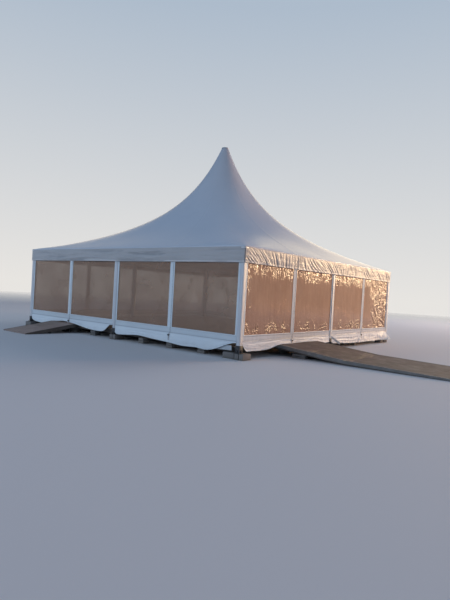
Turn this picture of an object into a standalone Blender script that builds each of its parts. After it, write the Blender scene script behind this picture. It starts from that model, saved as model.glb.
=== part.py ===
# Pagoda marquee with a raised floor and two ramps, in metres.
# +Z is up, the ground is at z = 0 and the origin lies under the middle of the tent.
# The front is at -Y, the right side at +X.

import math

import bmesh
import bpy

# Fit between pieces that touch
GAP = 0.0003

# Plan and roof
TENT_WIDTH = 10.0
EAVE_TOP = 2.88
ROOF_HEIGHT = 4.40
ROOF_SWEEP = 2.40
ROOF_THICKNESS = 0.020
CORNER_SHARPENING = 1.2
SQUARE_LIMIT = 1.01
PEAK_RING_RADIUS = 0.130
CAP_OVERLAP = 0.006
CAP_HEIGHT = 0.050
CAP_RIM_HEIGHT = 0.015
CAP_STEPS = 4
ROOF_RINGS = 16
RING_CROWDING = 1.6
QUARTER_SEGMENTS = 8
SHARP_ANGLE = math.radians(40)

# Valance
VALANCE_DEPTH = 0.42
VALANCE_THICKNESS = 0.008

# Frame
POST_SIZE = 0.12
MID_POST_WIDTH = 0.10
BEAM_HEIGHT = 0.12
PLATE_LIP = 0.04
PLATE_THICKNESS = 0.012
LUG_REACH = 0.10
LUG_THICKNESS = 0.02
LUG_HEIGHT = 0.10
LUG_DROP = 0.01
CABLE_RADIUS = 0.006
CABLE_SAG = 0.13
MAST_RADIUS = 0.045
MAST_FOOT_RADIUS = 0.075
MAST_FOOT_THICKNESS = 0.020
MAST_HEAD_THICKNESS = 0.018

# Curtains and windows
CURTAIN_INSET = 0.020
CURTAIN_THICKNESS = 0.006
EDGE_BAND = 0.065
ZIP_STRIP = 0.18
SILL_HEIGHT = 0.62
WINDOW_HEAD = 0.16
FILM_THICKNESS = 0.004
FILM_LAP = 0.030
HEM_HEIGHT = 0.19
HEM_CORNER_RISE = 0.28
HEM_CORNER_WIDTH = 0.45
HEM_OVER_RAMP = 0.025
HEM_SLOPE_WIDTH = 0.45
HEM_POINTS = 40

# Floor
FLOOR_TOP = 0.32
DECK_THICKNESS = 0.06
BEARER_HEIGHT = 0.10
BEARER_WIDTH = 0.10
BEARER_MARGIN = 0.010
BEARER_COUNT = 5
BLOCK_SIZE = 0.25
BLOCK_PITCH = 1.20
POST_BLOCK_SIZE = 0.36
BLOCK_BITE = 0.005

# Ramps
RAMP_DECK = 0.030
STRINGER_WIDTH = 0.06
STRINGER_DEPTH = 0.085
STRINGER_TIP = 0.012
CROSS_WIDTH = 0.08
CROSS_SHARES = (0.0, 0.5, 0.95)
RAMP_BLOCK_LENGTH = 0.40
RAMP_BLOCK_WIDTH = 0.22
RAMP_BLOCK_START = 0.45
FRONT_RAMP_WIDTH = 1.40
FRONT_RAMP_SHIFT = -0.32
FRONT_RAMP_LENGTH = 1.75
RIGHT_RAMP_WIDTH = 2.28
RIGHT_RAMP_SHIFT = 0.40
RIGHT_RAMP_LENGTH = 5.20
RIGHT_RAMP_BREAK_LENGTH = 2.00
RIGHT_RAMP_BREAK_HEIGHT = 0.095

# Worked out from the sizes above
HALF = TENT_WIDTH / 2
HIP_REACH = HALF * math.sqrt(2)
WALL_OUT = HALF - VALANCE_THICKNESS - GAP
POST_IN = WALL_OUT - POST_SIZE
BEAM_TOP = EAVE_TOP - ROOF_THICKNESS - GAP
BEAM_BOTTOM = BEAM_TOP - BEAM_HEIGHT
FLOOR_OUT = POST_IN - GAP
DECK_BOTTOM = FLOOR_TOP - DECK_THICKNESS + GAP
BEARER_TOP = FLOOR_TOP - DECK_THICKNESS
BLOCK_TOP = BEARER_TOP - BEARER_HEIGHT
BEARER_OUT = POST_IN - PLATE_LIP - BEARER_MARGIN
BEARER_CENTRE = BEARER_OUT - BEARER_WIDTH / 2
POST_BLOCK_CENTRE = WALL_OUT + PLATE_LIP - POST_BLOCK_SIZE / 2
CURTAIN_OUT = WALL_OUT - CURTAIN_INSET
CURTAIN_IN = CURTAIN_OUT - CURTAIN_THICKNESS
CURTAIN_TOP = BEAM_BOTTOM - GAP
WINDOW_TOP = CURTAIN_TOP - WINDOW_HEAD
CURTAIN_SIDES = (MID_POST_WIDTH / 2 + GAP, POST_IN - GAP)
CURTAIN_MIDDLE = sum(CURTAIN_SIDES) / 2
AROUND = 4 * QUARTER_SEGMENTS
ROOF_PITCH = ROOF_HEIGHT / (1 / (PEAK_RING_RADIUS + ROOF_SWEEP) - 1 / (HIP_REACH + ROOF_SWEEP))
PEAK_RING_TOP = EAVE_TOP + ROOF_HEIGHT

# Underside of each ramp's deck, as (distance beyond the wall, height) down to its toe
FRONT_RAMP_RUN = ((FRONT_RAMP_LENGTH, 0.0),)
RIGHT_RAMP_RUN = ((RIGHT_RAMP_BREAK_LENGTH, RIGHT_RAMP_BREAK_HEIGHT), (RIGHT_RAMP_LENGTH, 0.0))

SIDES = ("front", "right", "back", "left")


def clear_scene():
    for item in list(bpy.data.objects):
        bpy.data.objects.remove(item, do_unlink=True)


def make_material(name, colour, roughness, metallic=0.0, alpha=1.0):
    material = bpy.data.materials.new(name)
    material.use_nodes = True
    shader = material.node_tree.nodes["Principled BSDF"]
    shader.inputs["Base Color"].default_value = (*colour, 1.0)
    shader.inputs["Roughness"].default_value = roughness
    shader.inputs["Metallic"].default_value = metallic
    shader.inputs["Alpha"].default_value = alpha
    return material


def add_object(name, shape, material=None, turn=0.0):
    bmesh.ops.recalc_face_normals(shape, faces=shape.faces)
    mesh = bpy.data.meshes.new(name)
    shape.to_mesh(mesh)
    shape.free()
    item = bpy.data.objects.new(name, mesh)
    item.rotation_euler.z = turn
    bpy.context.scene.collection.objects.link(item)
    if material:
        mesh.materials.append(material)
    return item


def add_helper(name, shape, turn=0.0):
    helper = add_object(name, shape, turn=turn)
    helper.hide_render = True
    helper.display_type = "WIRE"
    return helper


def combine(item, helper, operation):
    modifier = item.modifiers.new(helper.name, "BOOLEAN")
    modifier.operation = operation
    modifier.solver = "EXACT"
    modifier.object = helper


def put_box(shape, low, high):
    corners = []
    for z in (low[2], high[2]):
        for x, y in ((low[0], low[1]), (high[0], low[1]), (high[0], high[1]), (low[0], high[1])):
            corners.append(shape.verts.new((x, y, z)))
    for faces in ((0, 3, 2, 1), (4, 5, 6, 7), (0, 1, 5, 4), (1, 2, 6, 5), (2, 3, 7, 6), (3, 0, 4, 7)):
        shape.faces.new([corners[i] for i in faces])


def box_shape(low, high):
    shape = bmesh.new()
    put_box(shape, low, high)
    return shape


def put_extrusion(shape, outline, push):
    """An outline of 3-D points, swept along one straight push."""
    face = shape.faces.new([shape.verts.new(point) for point in outline])
    swept = bmesh.ops.extrude_face_region(shape, geom=[face])["geom"]
    moved = [part for part in swept if isinstance(part, bmesh.types.BMVert)]
    bmesh.ops.translate(shape, verts=moved, vec=push)


def put_lathe(shape, profile, segments):
    """A profile of (radius, height) points turned about Z. Radius 0 closes an end."""
    rings = []
    for radius, height in profile:
        if radius == 0:
            rings.append([shape.verts.new((0, 0, height))])
            continue
        ring = []
        for step in range(segments):
            angle = 2 * math.pi * step / segments
            ring.append(shape.verts.new((radius * math.cos(angle), radius * math.sin(angle), height)))
        rings.append(ring)
    for first, second in zip(rings, rings[1:]):
        for step in range(segments):
            ahead = (step + 1) % segments
            corners = [first[step % len(first)], first[ahead % len(first)]]
            corners += [second[ahead % len(second)], second[step % len(second)]]
            shape.faces.new(list(dict.fromkeys(corners)))


# Roof

def roof_height(reach):
    """Height of the roof above the eave on a hip, at this distance from the middle."""
    return ROOF_PITCH * (1 / (reach + ROOF_SWEEP) - 1 / (HIP_REACH + ROOF_SWEEP))


def roof_section(reach, angle):
    """Distance from the middle at this angle, on the level line whose hip distance is reach.
    The line goes from a circle at the peak to a square at the eave."""
    squareness = (reach / HIP_REACH) ** CORNER_SHARPENING
    flat = reach * (1 - (1 - 1 / math.sqrt(2)) * squareness)
    across = abs(math.cos(angle))
    along = abs(math.sin(angle))
    bulge = math.sqrt(2) * flat / reach
    if bulge < SQUARE_LIMIT:
        return flat / max(across, along)
    power = math.log(2) / math.log(bulge)
    return flat / (across**power + along**power) ** (1 / power)


def make_roof(material):
    shape = bmesh.new()
    rings = []
    for ring in range(ROOF_RINGS + 1):
        share = (ring / ROOF_RINGS) ** RING_CROWDING
        reach = PEAK_RING_RADIUS + (HIP_REACH - PEAK_RING_RADIUS) * share
        points = []
        for step in range(AROUND):
            angle = 2 * math.pi * step / AROUND
            out = roof_section(reach, angle)
            place = (out * math.cos(angle), out * math.sin(angle), EAVE_TOP + roof_height(reach))
            points.append(shape.verts.new(place))
        rings.append(points)
    for inner, outer in zip(rings, rings[1:]):
        for step in range(AROUND):
            ahead = (step + 1) % AROUND
            shape.faces.new((inner[step], outer[step], outer[ahead], inner[ahead]))
    swept = bmesh.ops.extrude_face_region(shape, geom=list(shape.faces))["geom"]
    under = [part for part in swept if isinstance(part, bmesh.types.BMVert)]
    bmesh.ops.translate(shape, verts=under, vec=(0, 0, -ROOF_THICKNESS))
    roof = add_object("roof_membrane", shape, material)
    roof.data.shade_smooth()
    roof.data.set_sharp_from_angle(angle=SHARP_ANGLE)


def make_cap(material):
    radius = PEAK_RING_RADIUS + CAP_OVERLAP
    base = PEAK_RING_TOP + GAP
    brim = base + CAP_RIM_HEIGHT
    dome = CAP_HEIGHT - CAP_RIM_HEIGHT
    profile = [(0, base), (radius, base), (radius, brim)]
    for step in range(1, CAP_STEPS):
        angle = math.radians(90) * step / CAP_STEPS
        profile.append((radius * math.cos(angle), brim + dome * math.sin(angle)))
    profile.append((0, base + CAP_HEIGHT))
    shape = bmesh.new()
    put_lathe(shape, profile, AROUND)
    add_object("roof_cap", shape, material)


def make_valances(material):
    low = EAVE_TOP - VALANCE_DEPTH
    high = EAVE_TOP - ROOF_THICKNESS - GAP
    for number, side in enumerate(SIDES):
        reach = HALF if side in ("front", "back") else HALF - VALANCE_THICKNESS - GAP
        shape = box_shape((-reach, -HALF, low), (reach, -HALF + VALANCE_THICKNESS, high))
        add_object("valance_" + side, shape, material, math.radians(90 * number))


# Frame

def make_corner_posts(material):
    names = ("front_right", "back_right", "back_left", "front_left")
    low = BLOCK_TOP + GAP
    lug_top = BEAM_BOTTOM - LUG_DROP
    for number, corner in enumerate(names):
        turn = math.radians(90 * number)
        post = box_shape((POST_IN, -WALL_OUT, low), (WALL_OUT, -POST_IN, BEAM_TOP))
        item = add_object("corner_post_" + corner, post, material, turn)
        plate = box_shape(
            (POST_IN - PLATE_LIP, -WALL_OUT - PLATE_LIP, low),
            (WALL_OUT + PLATE_LIP, -POST_IN + PLATE_LIP, low + PLATE_THICKNESS),
        )
        combine(item, add_helper("plate_" + corner, plate, turn), "UNION")
        root = POST_IN * math.sqrt(2) + LUG_THICKNESS
        lug = box_shape(
            (lug_face(), -LUG_THICKNESS / 2, lug_top - LUG_HEIGHT),
            (root, LUG_THICKNESS / 2, lug_top),
        )
        helper = add_helper("lug_" + corner, lug, turn - math.radians(45))
        combine(item, helper, "UNION")


def lug_face():
    """Distance from the middle to the inner face of a corner post's cable lug."""
    return POST_IN * math.sqrt(2) - LUG_REACH


def make_mid_posts(material):
    low = BLOCK_TOP + GAP
    half = MID_POST_WIDTH / 2
    for number, side in enumerate(SIDES):
        turn = math.radians(90 * number)
        post = box_shape((-half, -WALL_OUT, low), (half, -POST_IN, BEAM_BOTTOM - GAP))
        item = add_object("mid_post_" + side, post, material, turn)
        plate = box_shape(
            (-half - PLATE_LIP, -WALL_OUT - PLATE_LIP, low),
            (half + PLATE_LIP, -POST_IN + PLATE_LIP, low + PLATE_THICKNESS),
        )
        combine(item, add_helper("mid_plate_" + side, plate, turn), "UNION")


def make_eave_beams(material):
    reach = POST_IN - GAP
    for number, side in enumerate(SIDES):
        shape = box_shape((-reach, -WALL_OUT, BEAM_BOTTOM), (reach, -POST_IN, BEAM_TOP))
        add_object("eave_beam_" + side, shape, material, math.radians(90 * number))


def cable_height():
    """Height of the lower cable's middle at the crossing."""
    return BEAM_BOTTOM - LUG_DROP - LUG_HEIGHT / 2 - CABLE_SAG


def make_cables(material):
    end = (lug_face() - GAP) / math.sqrt(2)
    end_height = BEAM_BOTTOM - LUG_DROP - LUG_HEIGHT / 2
    lift = 2 * CABLE_RADIUS + GAP
    for name, way, middle in (
        ("crossing_cable_lower", 1, cable_height()),
        ("crossing_cable_upper", -1, cable_height() + lift),
    ):
        curve = bpy.data.curves.new(name, "CURVE")
        curve.dimensions = "3D"
        curve.bevel_depth = CABLE_RADIUS
        curve.bevel_resolution = 4
        curve.use_fill_caps = True
        spline = curve.splines.new("POLY")
        spline.points.add(2)
        ends = ((-end, -end * way, end_height), (0, 0, middle), (end, end * way, end_height))
        for point, place in zip(spline.points, ends):
            point.co = (*place, 1)
        curve.materials.append(material)
        bpy.context.scene.collection.objects.link(bpy.data.objects.new(name, curve))


def make_king_pole(material):
    rise_at_foot = CABLE_SAG * MAST_FOOT_RADIUS / lug_face()
    foot = cable_height() + 3 * CABLE_RADIUS + rise_at_foot + 2 * GAP
    head = roof_section(PEAK_RING_RADIUS, 0) - GAP
    profile = [
        (0, foot),
        (MAST_FOOT_RADIUS, foot),
        (MAST_FOOT_RADIUS, foot + MAST_FOOT_THICKNESS),
        (MAST_RADIUS, foot + MAST_FOOT_THICKNESS),
        (MAST_RADIUS, PEAK_RING_TOP - MAST_HEAD_THICKNESS),
        (head, PEAK_RING_TOP - MAST_HEAD_THICKNESS),
        (head, PEAK_RING_TOP),
        (0, PEAK_RING_TOP),
    ]
    shape = bmesh.new()
    put_lathe(shape, profile, AROUND)
    pole = add_object("king_pole", shape, material)
    pole.data.shade_smooth()
    pole.data.set_sharp_from_angle(angle=SHARP_ANGLE)


# Curtains

def smooth_step(value):
    value = min(max(value, 0.0), 1.0)
    return value * value * (3 - 2 * value)


def hem_height(x, low_x, high_x, ramp):
    """Height of a curtain's lower edge: level, round at the posts and lifted over a ramp."""
    near = min(x - low_x, high_x - x) / HEM_CORNER_WIDTH
    height = HEM_HEIGHT
    if near < 1:
        height += HEM_CORNER_RISE * (1 - math.sqrt(1 - (1 - near) ** 2))
    if ramp:
        outside = abs(x - ramp[0]) - ramp[1] / 2
        lift = FLOOR_TOP + HEM_OVER_RAMP - HEM_HEIGHT
        height = max(height, HEM_HEIGHT + lift * smooth_step(1 - outside / HEM_SLOPE_WIDTH))
    return height


def make_curtain(name, low_x, high_x, ramp, turn, cloth, film):
    outline = [(high_x, -CURTAIN_OUT, CURTAIN_TOP), (low_x, -CURTAIN_OUT, CURTAIN_TOP)]
    for step in range(HEM_POINTS + 1):
        share = step / HEM_POINTS
        x = low_x + (high_x - low_x) * (1 - math.cos(math.pi * share)) / 2
        outline.append((x, -CURTAIN_OUT, hem_height(x, low_x, high_x, ramp)))
    shape = bmesh.new()
    put_extrusion(shape, outline, (0, CURTAIN_THICKNESS, 0))
    item = add_object(name, shape, cloth, turn)
    middle = (low_x + high_x) / 2
    panes = (
        (low_x + EDGE_BAND, middle - ZIP_STRIP / 2),
        (middle + ZIP_STRIP / 2, high_x - EDGE_BAND),
    )
    cutter = bmesh.new()
    for start, stop in panes:
        put_box(
            cutter,
            (start, -CURTAIN_OUT - CURTAIN_THICKNESS, SILL_HEIGHT),
            (stop, -CURTAIN_IN + CURTAIN_THICKNESS, WINDOW_TOP),
        )
    combine(item, add_helper(name + "_cutter", cutter, turn), "DIFFERENCE")
    pane = box_shape(
        (panes[0][0] - FILM_LAP, -CURTAIN_IN + GAP, SILL_HEIGHT - FILM_LAP),
        (panes[1][1] + FILM_LAP, -CURTAIN_IN + GAP + FILM_THICKNESS, WINDOW_TOP + FILM_LAP),
    )
    add_object(name.replace("curtain", "window"), pane, film, turn)


def make_curtains(cloth, film, ramps):
    near, far = CURTAIN_SIDES
    for number, side in enumerate(SIDES):
        turn = math.radians(90 * number)
        make_curtain(side + "_curtain_left", -far, -near, ramps.get(side), turn, cloth, film)
        make_curtain(side + "_curtain_right", near, far, None, turn, cloth, film)


# Floor

def make_decks(material):
    for name, low_x, high_x in (
        ("floor_deck_left", -FLOOR_OUT, -GAP / 2),
        ("floor_deck_right", GAP / 2, FLOOR_OUT),
    ):
        shape = box_shape((low_x, -FLOOR_OUT, DECK_BOTTOM), (high_x, FLOOR_OUT, FLOOR_TOP))
        add_object(name, shape, material)


def put_block(shape, x, y, size):
    half = size / 2
    put_box(shape, (x - half, y - half, 0), (x + half, y + half, BLOCK_TOP))


def make_bearers(timber):
    inner = int((BEARER_OUT - POST_BLOCK_SIZE) / BLOCK_PITCH)
    for number in range(BEARER_COUNT):
        y = BEARER_CENTRE * (2 * number / (BEARER_COUNT - 1) - 1)
        edge = number in (0, BEARER_COUNT - 1)
        under_posts = edge or abs(y) < MID_POST_WIDTH / 2
        half = BEARER_WIDTH / 2
        shape = box_shape(
            (-BEARER_OUT, y - half, BLOCK_TOP - BLOCK_BITE), (BEARER_OUT, y + half, BEARER_TOP)
        )
        item = add_object("floor_bearer_" + str(number + 1), shape, timber)
        blocks = bmesh.new()
        post_y = math.copysign(POST_BLOCK_CENTRE, y) if edge else y
        for step in range(-inner, inner + 1):
            if edge and step == 0:
                put_block(blocks, 0, post_y, POST_BLOCK_SIZE)
            else:
                put_block(blocks, step * BLOCK_PITCH, y, BLOCK_SIZE)
        for way in (-1, 1):
            if under_posts:
                put_block(blocks, way * POST_BLOCK_CENTRE, post_y, POST_BLOCK_SIZE)
            else:
                put_block(blocks, way * (BEARER_OUT - BLOCK_SIZE / 2), y, BLOCK_SIZE)
        combine(item, add_helper("blocks_" + str(number + 1), blocks), "UNION")


# Ramps

def cut_line(line, level):
    """The part of a falling line of (out, height) points that lies above this level."""
    kept = [line[0]]
    for (out_a, high_a), (out_b, high_b) in zip(line, line[1:]):
        if high_b < level:
            share = (high_a - level) / (high_a - high_b)
            kept.append((out_a + share * (out_b - out_a), level))
            break
        kept.append((out_b, high_b))
    return kept


def height_on(line, out):
    for (out_a, high_a), (out_b, high_b) in zip(line, line[1:]):
        if out <= out_b:
            return high_a + (high_b - high_a) * (out - out_a) / (out_b - out_a)
    return line[-1][1]


def make_ramp(side, centre, width, run, plank, timber):
    turn = math.radians(90 * SIDES.index(side))
    start = FLOOR_OUT + GAP
    top = [(start, FLOOR_TOP)] + [(HALF + out, high + RAMP_DECK) for out, high in run]
    low_x = centre - width / 2
    high_x = centre + width / 2
    outline = [(low_x, -out, high) for out, high in top]
    outline += [(low_x, -out, high - RAMP_DECK) for out, high in reversed(top)]
    shape = bmesh.new()
    put_extrusion(shape, outline, (width, 0, 0))
    add_object("ramp_" + side + "_deck", shape, plank, turn)

    under = cut_line([(out, high - RAMP_DECK - GAP) for out, high in top], STRINGER_TIP)
    base = cut_line([(out, high - STRINGER_DEPTH) for out, high in under], 0)
    section = [(out, high) for out, high in under]
    section += [(under[-1][0], 0)] + [point for point in reversed(base)]
    places = (low_x, centre - STRINGER_WIDTH / 2, high_x - STRINGER_WIDTH)
    item = None
    for number, x in enumerate(places):
        stringer = bmesh.new()
        put_extrusion(stringer, [(x, -out, high) for out, high in section], (STRINGER_WIDTH, 0, 0))
        if item is None:
            item = add_object("ramp_" + side + "_frame", stringer, timber, turn)
        else:
            combine(item, add_helper("stringer_" + side + str(number), stringer, turn), "UNION")
    crosses = bmesh.new()
    last_full = base[-1][0]
    for share in CROSS_SHARES:
        out = start + CROSS_WIDTH + share * (last_full - start - CROSS_WIDTH)
        level = height_on(under, out) - STRINGER_DEPTH
        put_box(
            crosses,
            (low_x + STRINGER_WIDTH / 2, -out, max(level, 0.0) + STRINGER_TIP),
            (high_x - STRINGER_WIDTH / 2, -out + CROSS_WIDTH, level + STRINGER_DEPTH - STRINGER_TIP),
        )
    combine(item, add_helper("crosses_" + side, crosses, turn), "UNION")
    blocks = bmesh.new()
    out = HALF + RAMP_BLOCK_START
    for x in (low_x, centre - RAMP_BLOCK_WIDTH / 2, high_x - RAMP_BLOCK_WIDTH):
        level = height_on(under, out + RAMP_BLOCK_LENGTH) - STRINGER_DEPTH
        put_box(
            blocks,
            (x, -out - RAMP_BLOCK_LENGTH, 0),
            (x + RAMP_BLOCK_WIDTH, -out, level + STRINGER_DEPTH / 2),
        )
    combine(item, add_helper("ramp_blocks_" + side, blocks, turn), "UNION")


def main():
    clear_scene()
    cloth = make_material("coated_cloth", (0.80, 0.81, 0.83), 0.45)
    cap = make_material("cap_plastic", (0.70, 0.71, 0.73), 0.40)
    film = make_material("window_film", (0.55, 0.40, 0.30), 0.12, alpha=0.55)
    alloy = make_material("frame_aluminium", (0.72, 0.73, 0.75), 0.35, 0.9)
    wire = make_material("steel_wire", (0.50, 0.51, 0.52), 0.40, 1.0)
    board = make_material("floor_board", (0.32, 0.25, 0.20), 0.60)
    timber = make_material("bearer_timber", (0.50, 0.48, 0.44), 0.80)
    plank = make_material("ramp_board", (0.30, 0.26, 0.24), 0.65)

    ramps = {
        "front": (-CURTAIN_MIDDLE + FRONT_RAMP_SHIFT, FRONT_RAMP_WIDTH),
        "right": (-CURTAIN_MIDDLE + RIGHT_RAMP_SHIFT, RIGHT_RAMP_WIDTH),
    }
    make_roof(cloth)
    make_cap(cap)
    make_valances(cloth)
    make_corner_posts(alloy)
    make_mid_posts(alloy)
    make_eave_beams(alloy)
    make_cables(wire)
    make_king_pole(alloy)
    make_curtains(cloth, film, ramps)
    make_decks(board)
    make_bearers(timber)
    make_ramp("front", *ramps["front"], FRONT_RAMP_RUN, plank, timber)
    make_ramp("right", *ramps["right"], RIGHT_RAMP_RUN, plank, timber)


main()
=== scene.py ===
import math

import bmesh
import bpy
from mathutils import Euler, Matrix, Vector, noise


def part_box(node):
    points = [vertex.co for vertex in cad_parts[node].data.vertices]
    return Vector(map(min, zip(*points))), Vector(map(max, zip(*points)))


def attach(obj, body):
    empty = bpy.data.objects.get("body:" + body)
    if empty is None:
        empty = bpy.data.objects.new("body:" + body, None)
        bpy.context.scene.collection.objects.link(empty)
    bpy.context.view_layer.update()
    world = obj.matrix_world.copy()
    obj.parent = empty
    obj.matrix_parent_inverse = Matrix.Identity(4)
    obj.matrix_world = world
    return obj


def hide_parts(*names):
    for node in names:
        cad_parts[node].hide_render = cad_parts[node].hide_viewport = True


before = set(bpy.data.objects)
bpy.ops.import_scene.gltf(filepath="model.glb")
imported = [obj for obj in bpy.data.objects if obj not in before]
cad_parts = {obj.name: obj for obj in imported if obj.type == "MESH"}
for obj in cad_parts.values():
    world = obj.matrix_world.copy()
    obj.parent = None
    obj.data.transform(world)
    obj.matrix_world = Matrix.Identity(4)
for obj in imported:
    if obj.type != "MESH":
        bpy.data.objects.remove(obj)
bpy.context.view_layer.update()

# The looks of a 10 m pagoda marquee. Metres, +Z up, front at -Y, right side at +X.
sideNames = ("front", "right", "back", "left")


# Main places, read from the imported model

clothDepth = 0.020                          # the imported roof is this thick, the real cloth is not
roofLow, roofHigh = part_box("roof_membrane")
halfPlan = roofHigh.x
eaveTop = roofLow.z + clothDepth
peakTop = roofHigh.z
valanceLow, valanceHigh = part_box("valance_front")
curtainLow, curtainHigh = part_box("front_curtain_left")
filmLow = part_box("front_window_left")[0]
beamLow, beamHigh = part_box("eave_beam_front")
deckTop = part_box("floor_deck_left")[1].z
wallFace = -beamLow.y                       # outer face of posts and beams
curtainFace = -curtainLow.y                 # outer face of the curtains
postInner = -beamHigh.y


# Camera at the photograph's place

cameraView = {
    "place": (12.284, -14.750, 1.713),
    "azimuth": 38.80,
    "pitch": -1.04,
    "roll": 3.27,
    "lens": 29.21,
}


def setCamera():
    azimuth, pitch, roll = (math.radians(cameraView[key]) for key in ("azimuth", "pitch", "roll"))
    level = Vector((-math.sin(azimuth), math.cos(azimuth), 0))
    ahead = level * math.cos(pitch) + Vector((0, 0, math.sin(pitch)))
    right = Vector((math.cos(azimuth), math.sin(azimuth), 0))
    up = right.cross(ahead)
    rightTilted = right * math.cos(roll) + up * math.sin(roll)
    upTilted = up * math.cos(roll) - right * math.sin(roll)
    camera = bpy.data.objects.new("camera", bpy.data.cameras.new("camera"))
    camera.data.lens = cameraView["lens"]
    camera.data.clip_end = 2000
    turn = Matrix((rightTilted, upTilted, -ahead)).transposed().to_4x4()
    camera.matrix_world = Matrix.Translation(cameraView["place"]) @ turn
    bpy.context.scene.collection.objects.link(camera)
    bpy.context.scene.camera = camera


setCamera()
print("camera set")


# Materials

def addNode(tree, kind, values=None, **settings):
    node = tree.nodes.new(kind)
    for key, value in settings.items():
        setattr(node, key, value)
    for key, value in (values or {}).items():
        node.inputs[key].default_value = value
    return node


def addPattern(tree, source, pattern):
    # one grey pattern: its kind, its scale and how it is stretched
    mapping = addNode(tree, "ShaderNodeMapping", {
        "Scale": pattern.get("stretch", (1, 1, 1)),
        "Rotation": pattern.get("turn", (0, 0, 0)),
    })
    tree.links.new(source, mapping.inputs["Vector"])
    kind = pattern.get("kind", "noise")
    if kind == "noise":
        node = addNode(tree, "ShaderNodeTexNoise", {
            "Scale": pattern["scale"],
            "Detail": pattern.get("detail", 4.0),
            "Roughness": 0.55,
            "Distortion": pattern.get("warp", 0.0),
        })
        output = node.outputs["Fac"]
    elif kind == "wave":
        node = addNode(tree, "ShaderNodeTexWave", {
            "Scale": pattern["scale"],
            "Distortion": pattern.get("warp", 2.0),
            "Detail": pattern.get("detail", 2.0),
        }, bands_direction=pattern.get("along", "X"))
        output = node.outputs["Fac"]
    else:
        node = addNode(tree, "ShaderNodeTexVoronoi", {"Scale": pattern["scale"]}, feature="DISTANCE_TO_EDGE")
        output = node.outputs["Distance"]
    tree.links.new(mapping.outputs["Vector"], node.inputs["Vector"])
    return output


def spreadValues(tree, value, low, high, start=0.0, end=1.0):
    node = addNode(tree, "ShaderNodeMapRange", {
        "From Min": low, "From Max": high, "To Min": start, "To Max": end,
    })
    tree.links.new(value, node.inputs["Value"])
    return node.outputs["Result"]


def mixColours(tree, factor, first, second):
    node = addNode(tree, "ShaderNodeMix", data_type="RGBA")
    tree.links.new(factor, node.inputs["Factor"])
    for socket, colour in ((node.inputs[6], first), (node.inputs[7], second)):
        if hasattr(colour, "is_linked"):
            tree.links.new(colour, socket)
        else:
            socket.default_value = (*colour, 1)
    return node.outputs[2]


def markOf(tree, name):
    # what the mesh itself says at a place, such as how crinkled the cloth is there
    return addNode(tree, "ShaderNodeAttribute", attribute_name=name).outputs["Fac"]


noiseSpan = (0.3, 0.7)                      # most of a noise pattern's values lie between these


def makeFinish(name, recipe):
    finish = bpy.data.materials.new(name)
    finish.use_nodes = True
    tree = finish.node_tree
    shader = tree.nodes["Principled BSDF"]
    coords = tree.nodes.new("ShaderNodeTexCoord")
    source = coords.outputs["Object"]
    for key in ("Metallic", "Specular IOR Level", "Coat Weight", "Coat Roughness", "Sheen Weight"):
        if key in recipe:
            shader.inputs[key].default_value = recipe[key]

    colour = recipe["colour"]
    for layer in recipe["layers"]:
        spot = spreadValues(tree, addPattern(tree, source, layer), *layer["span"])
        colour = mixColours(tree, spreadValues(tree, spot, 0, 1, 0, layer["share"]), colour, layer["colour"])
    if "varies" in recipe:                  # a second colour led in by the shade mark: each board or block has its own shade, the valance hems get a painted highlight, and the curtains get painted shade along the kick's seam and on the loose flaps
        colour = mixColours(tree, markOf(tree, "shade"), colour, recipe["varies"])
    if "creased" in recipe:                 # painted shade in the creases
        dust = spreadValues(tree, markOf(tree, "crease"), 0, 1, 0, recipe["dust"])
        colour = mixColours(tree, dust, colour, recipe["creased"])
    if "soil" in recipe:                    # darker by height: dirt that climbs from the ground; toward the roof's peak, part dirt and part painted shade; on the floor, the boards' sides and undersides
        height = addNode(tree, "ShaderNodeSeparateXYZ")
        tree.links.new(coords.outputs["Object"], height.inputs["Vector"])
        soil = recipe["soil"]
        ragged = addNode(tree, "ShaderNodeMath", operation="ADD")
        tree.links.new(height.outputs["Z"], ragged.inputs[0])
        patch = spreadValues(tree, addPattern(tree, source, soil), *noiseSpan, 0, soil["reach"])
        tree.links.new(patch, ragged.inputs[1])
        low, high = soil["between"]
        darkening = spreadValues(tree, ragged.outputs[0], high, low, 0, soil["share"])
        colour = mixColours(tree, darkening, colour, soil["colour"])
    tree.links.new(colour, shader.inputs["Base Color"])

    sheen = spreadValues(tree, addPattern(tree, source, recipe["wear"]), *noiseSpan, *recipe["roughness"])
    tree.links.new(sheen, shader.inputs["Roughness"])
    if "alpha" in recipe:
        haze = spreadValues(tree, addPattern(tree, source, recipe["haze"]), 0.35, 0.7, *recipe["alpha"])
        tree.links.new(haze, shader.inputs["Alpha"])

    last = None
    for relief in recipe["relief"]:
        bump = addNode(tree, "ShaderNodeBump", {"Strength": relief["strength"], "Distance": relief["depth"]})
        tree.links.new(addPattern(tree, source, relief), bump.inputs["Height"])
        if "calm" in relief:                # crinkled places keep the whole strength, calm ones less
            strength = spreadValues(tree, markOf(tree, "crinkle"), 0, 1, relief["calm"], relief["strength"])
            tree.links.new(strength, bump.inputs["Strength"])
        if last:
            tree.links.new(last.outputs["Normal"], bump.inputs["Normal"])
        last = bump
    tree.links.new(last.outputs["Normal"], shader.inputs["Normal"])
    return finish


def tint(scale, colour, share, span=(0.4, 0.75), **pattern):
    # a colour laid over the others, which fades in where the pattern rises through the span
    return dict(pattern, scale=scale, colour=colour, share=share, span=span)


def bumps(scale, strength, depth, **pattern):
    return dict(pattern, scale=scale, strength=strength, depth=depth)


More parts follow.
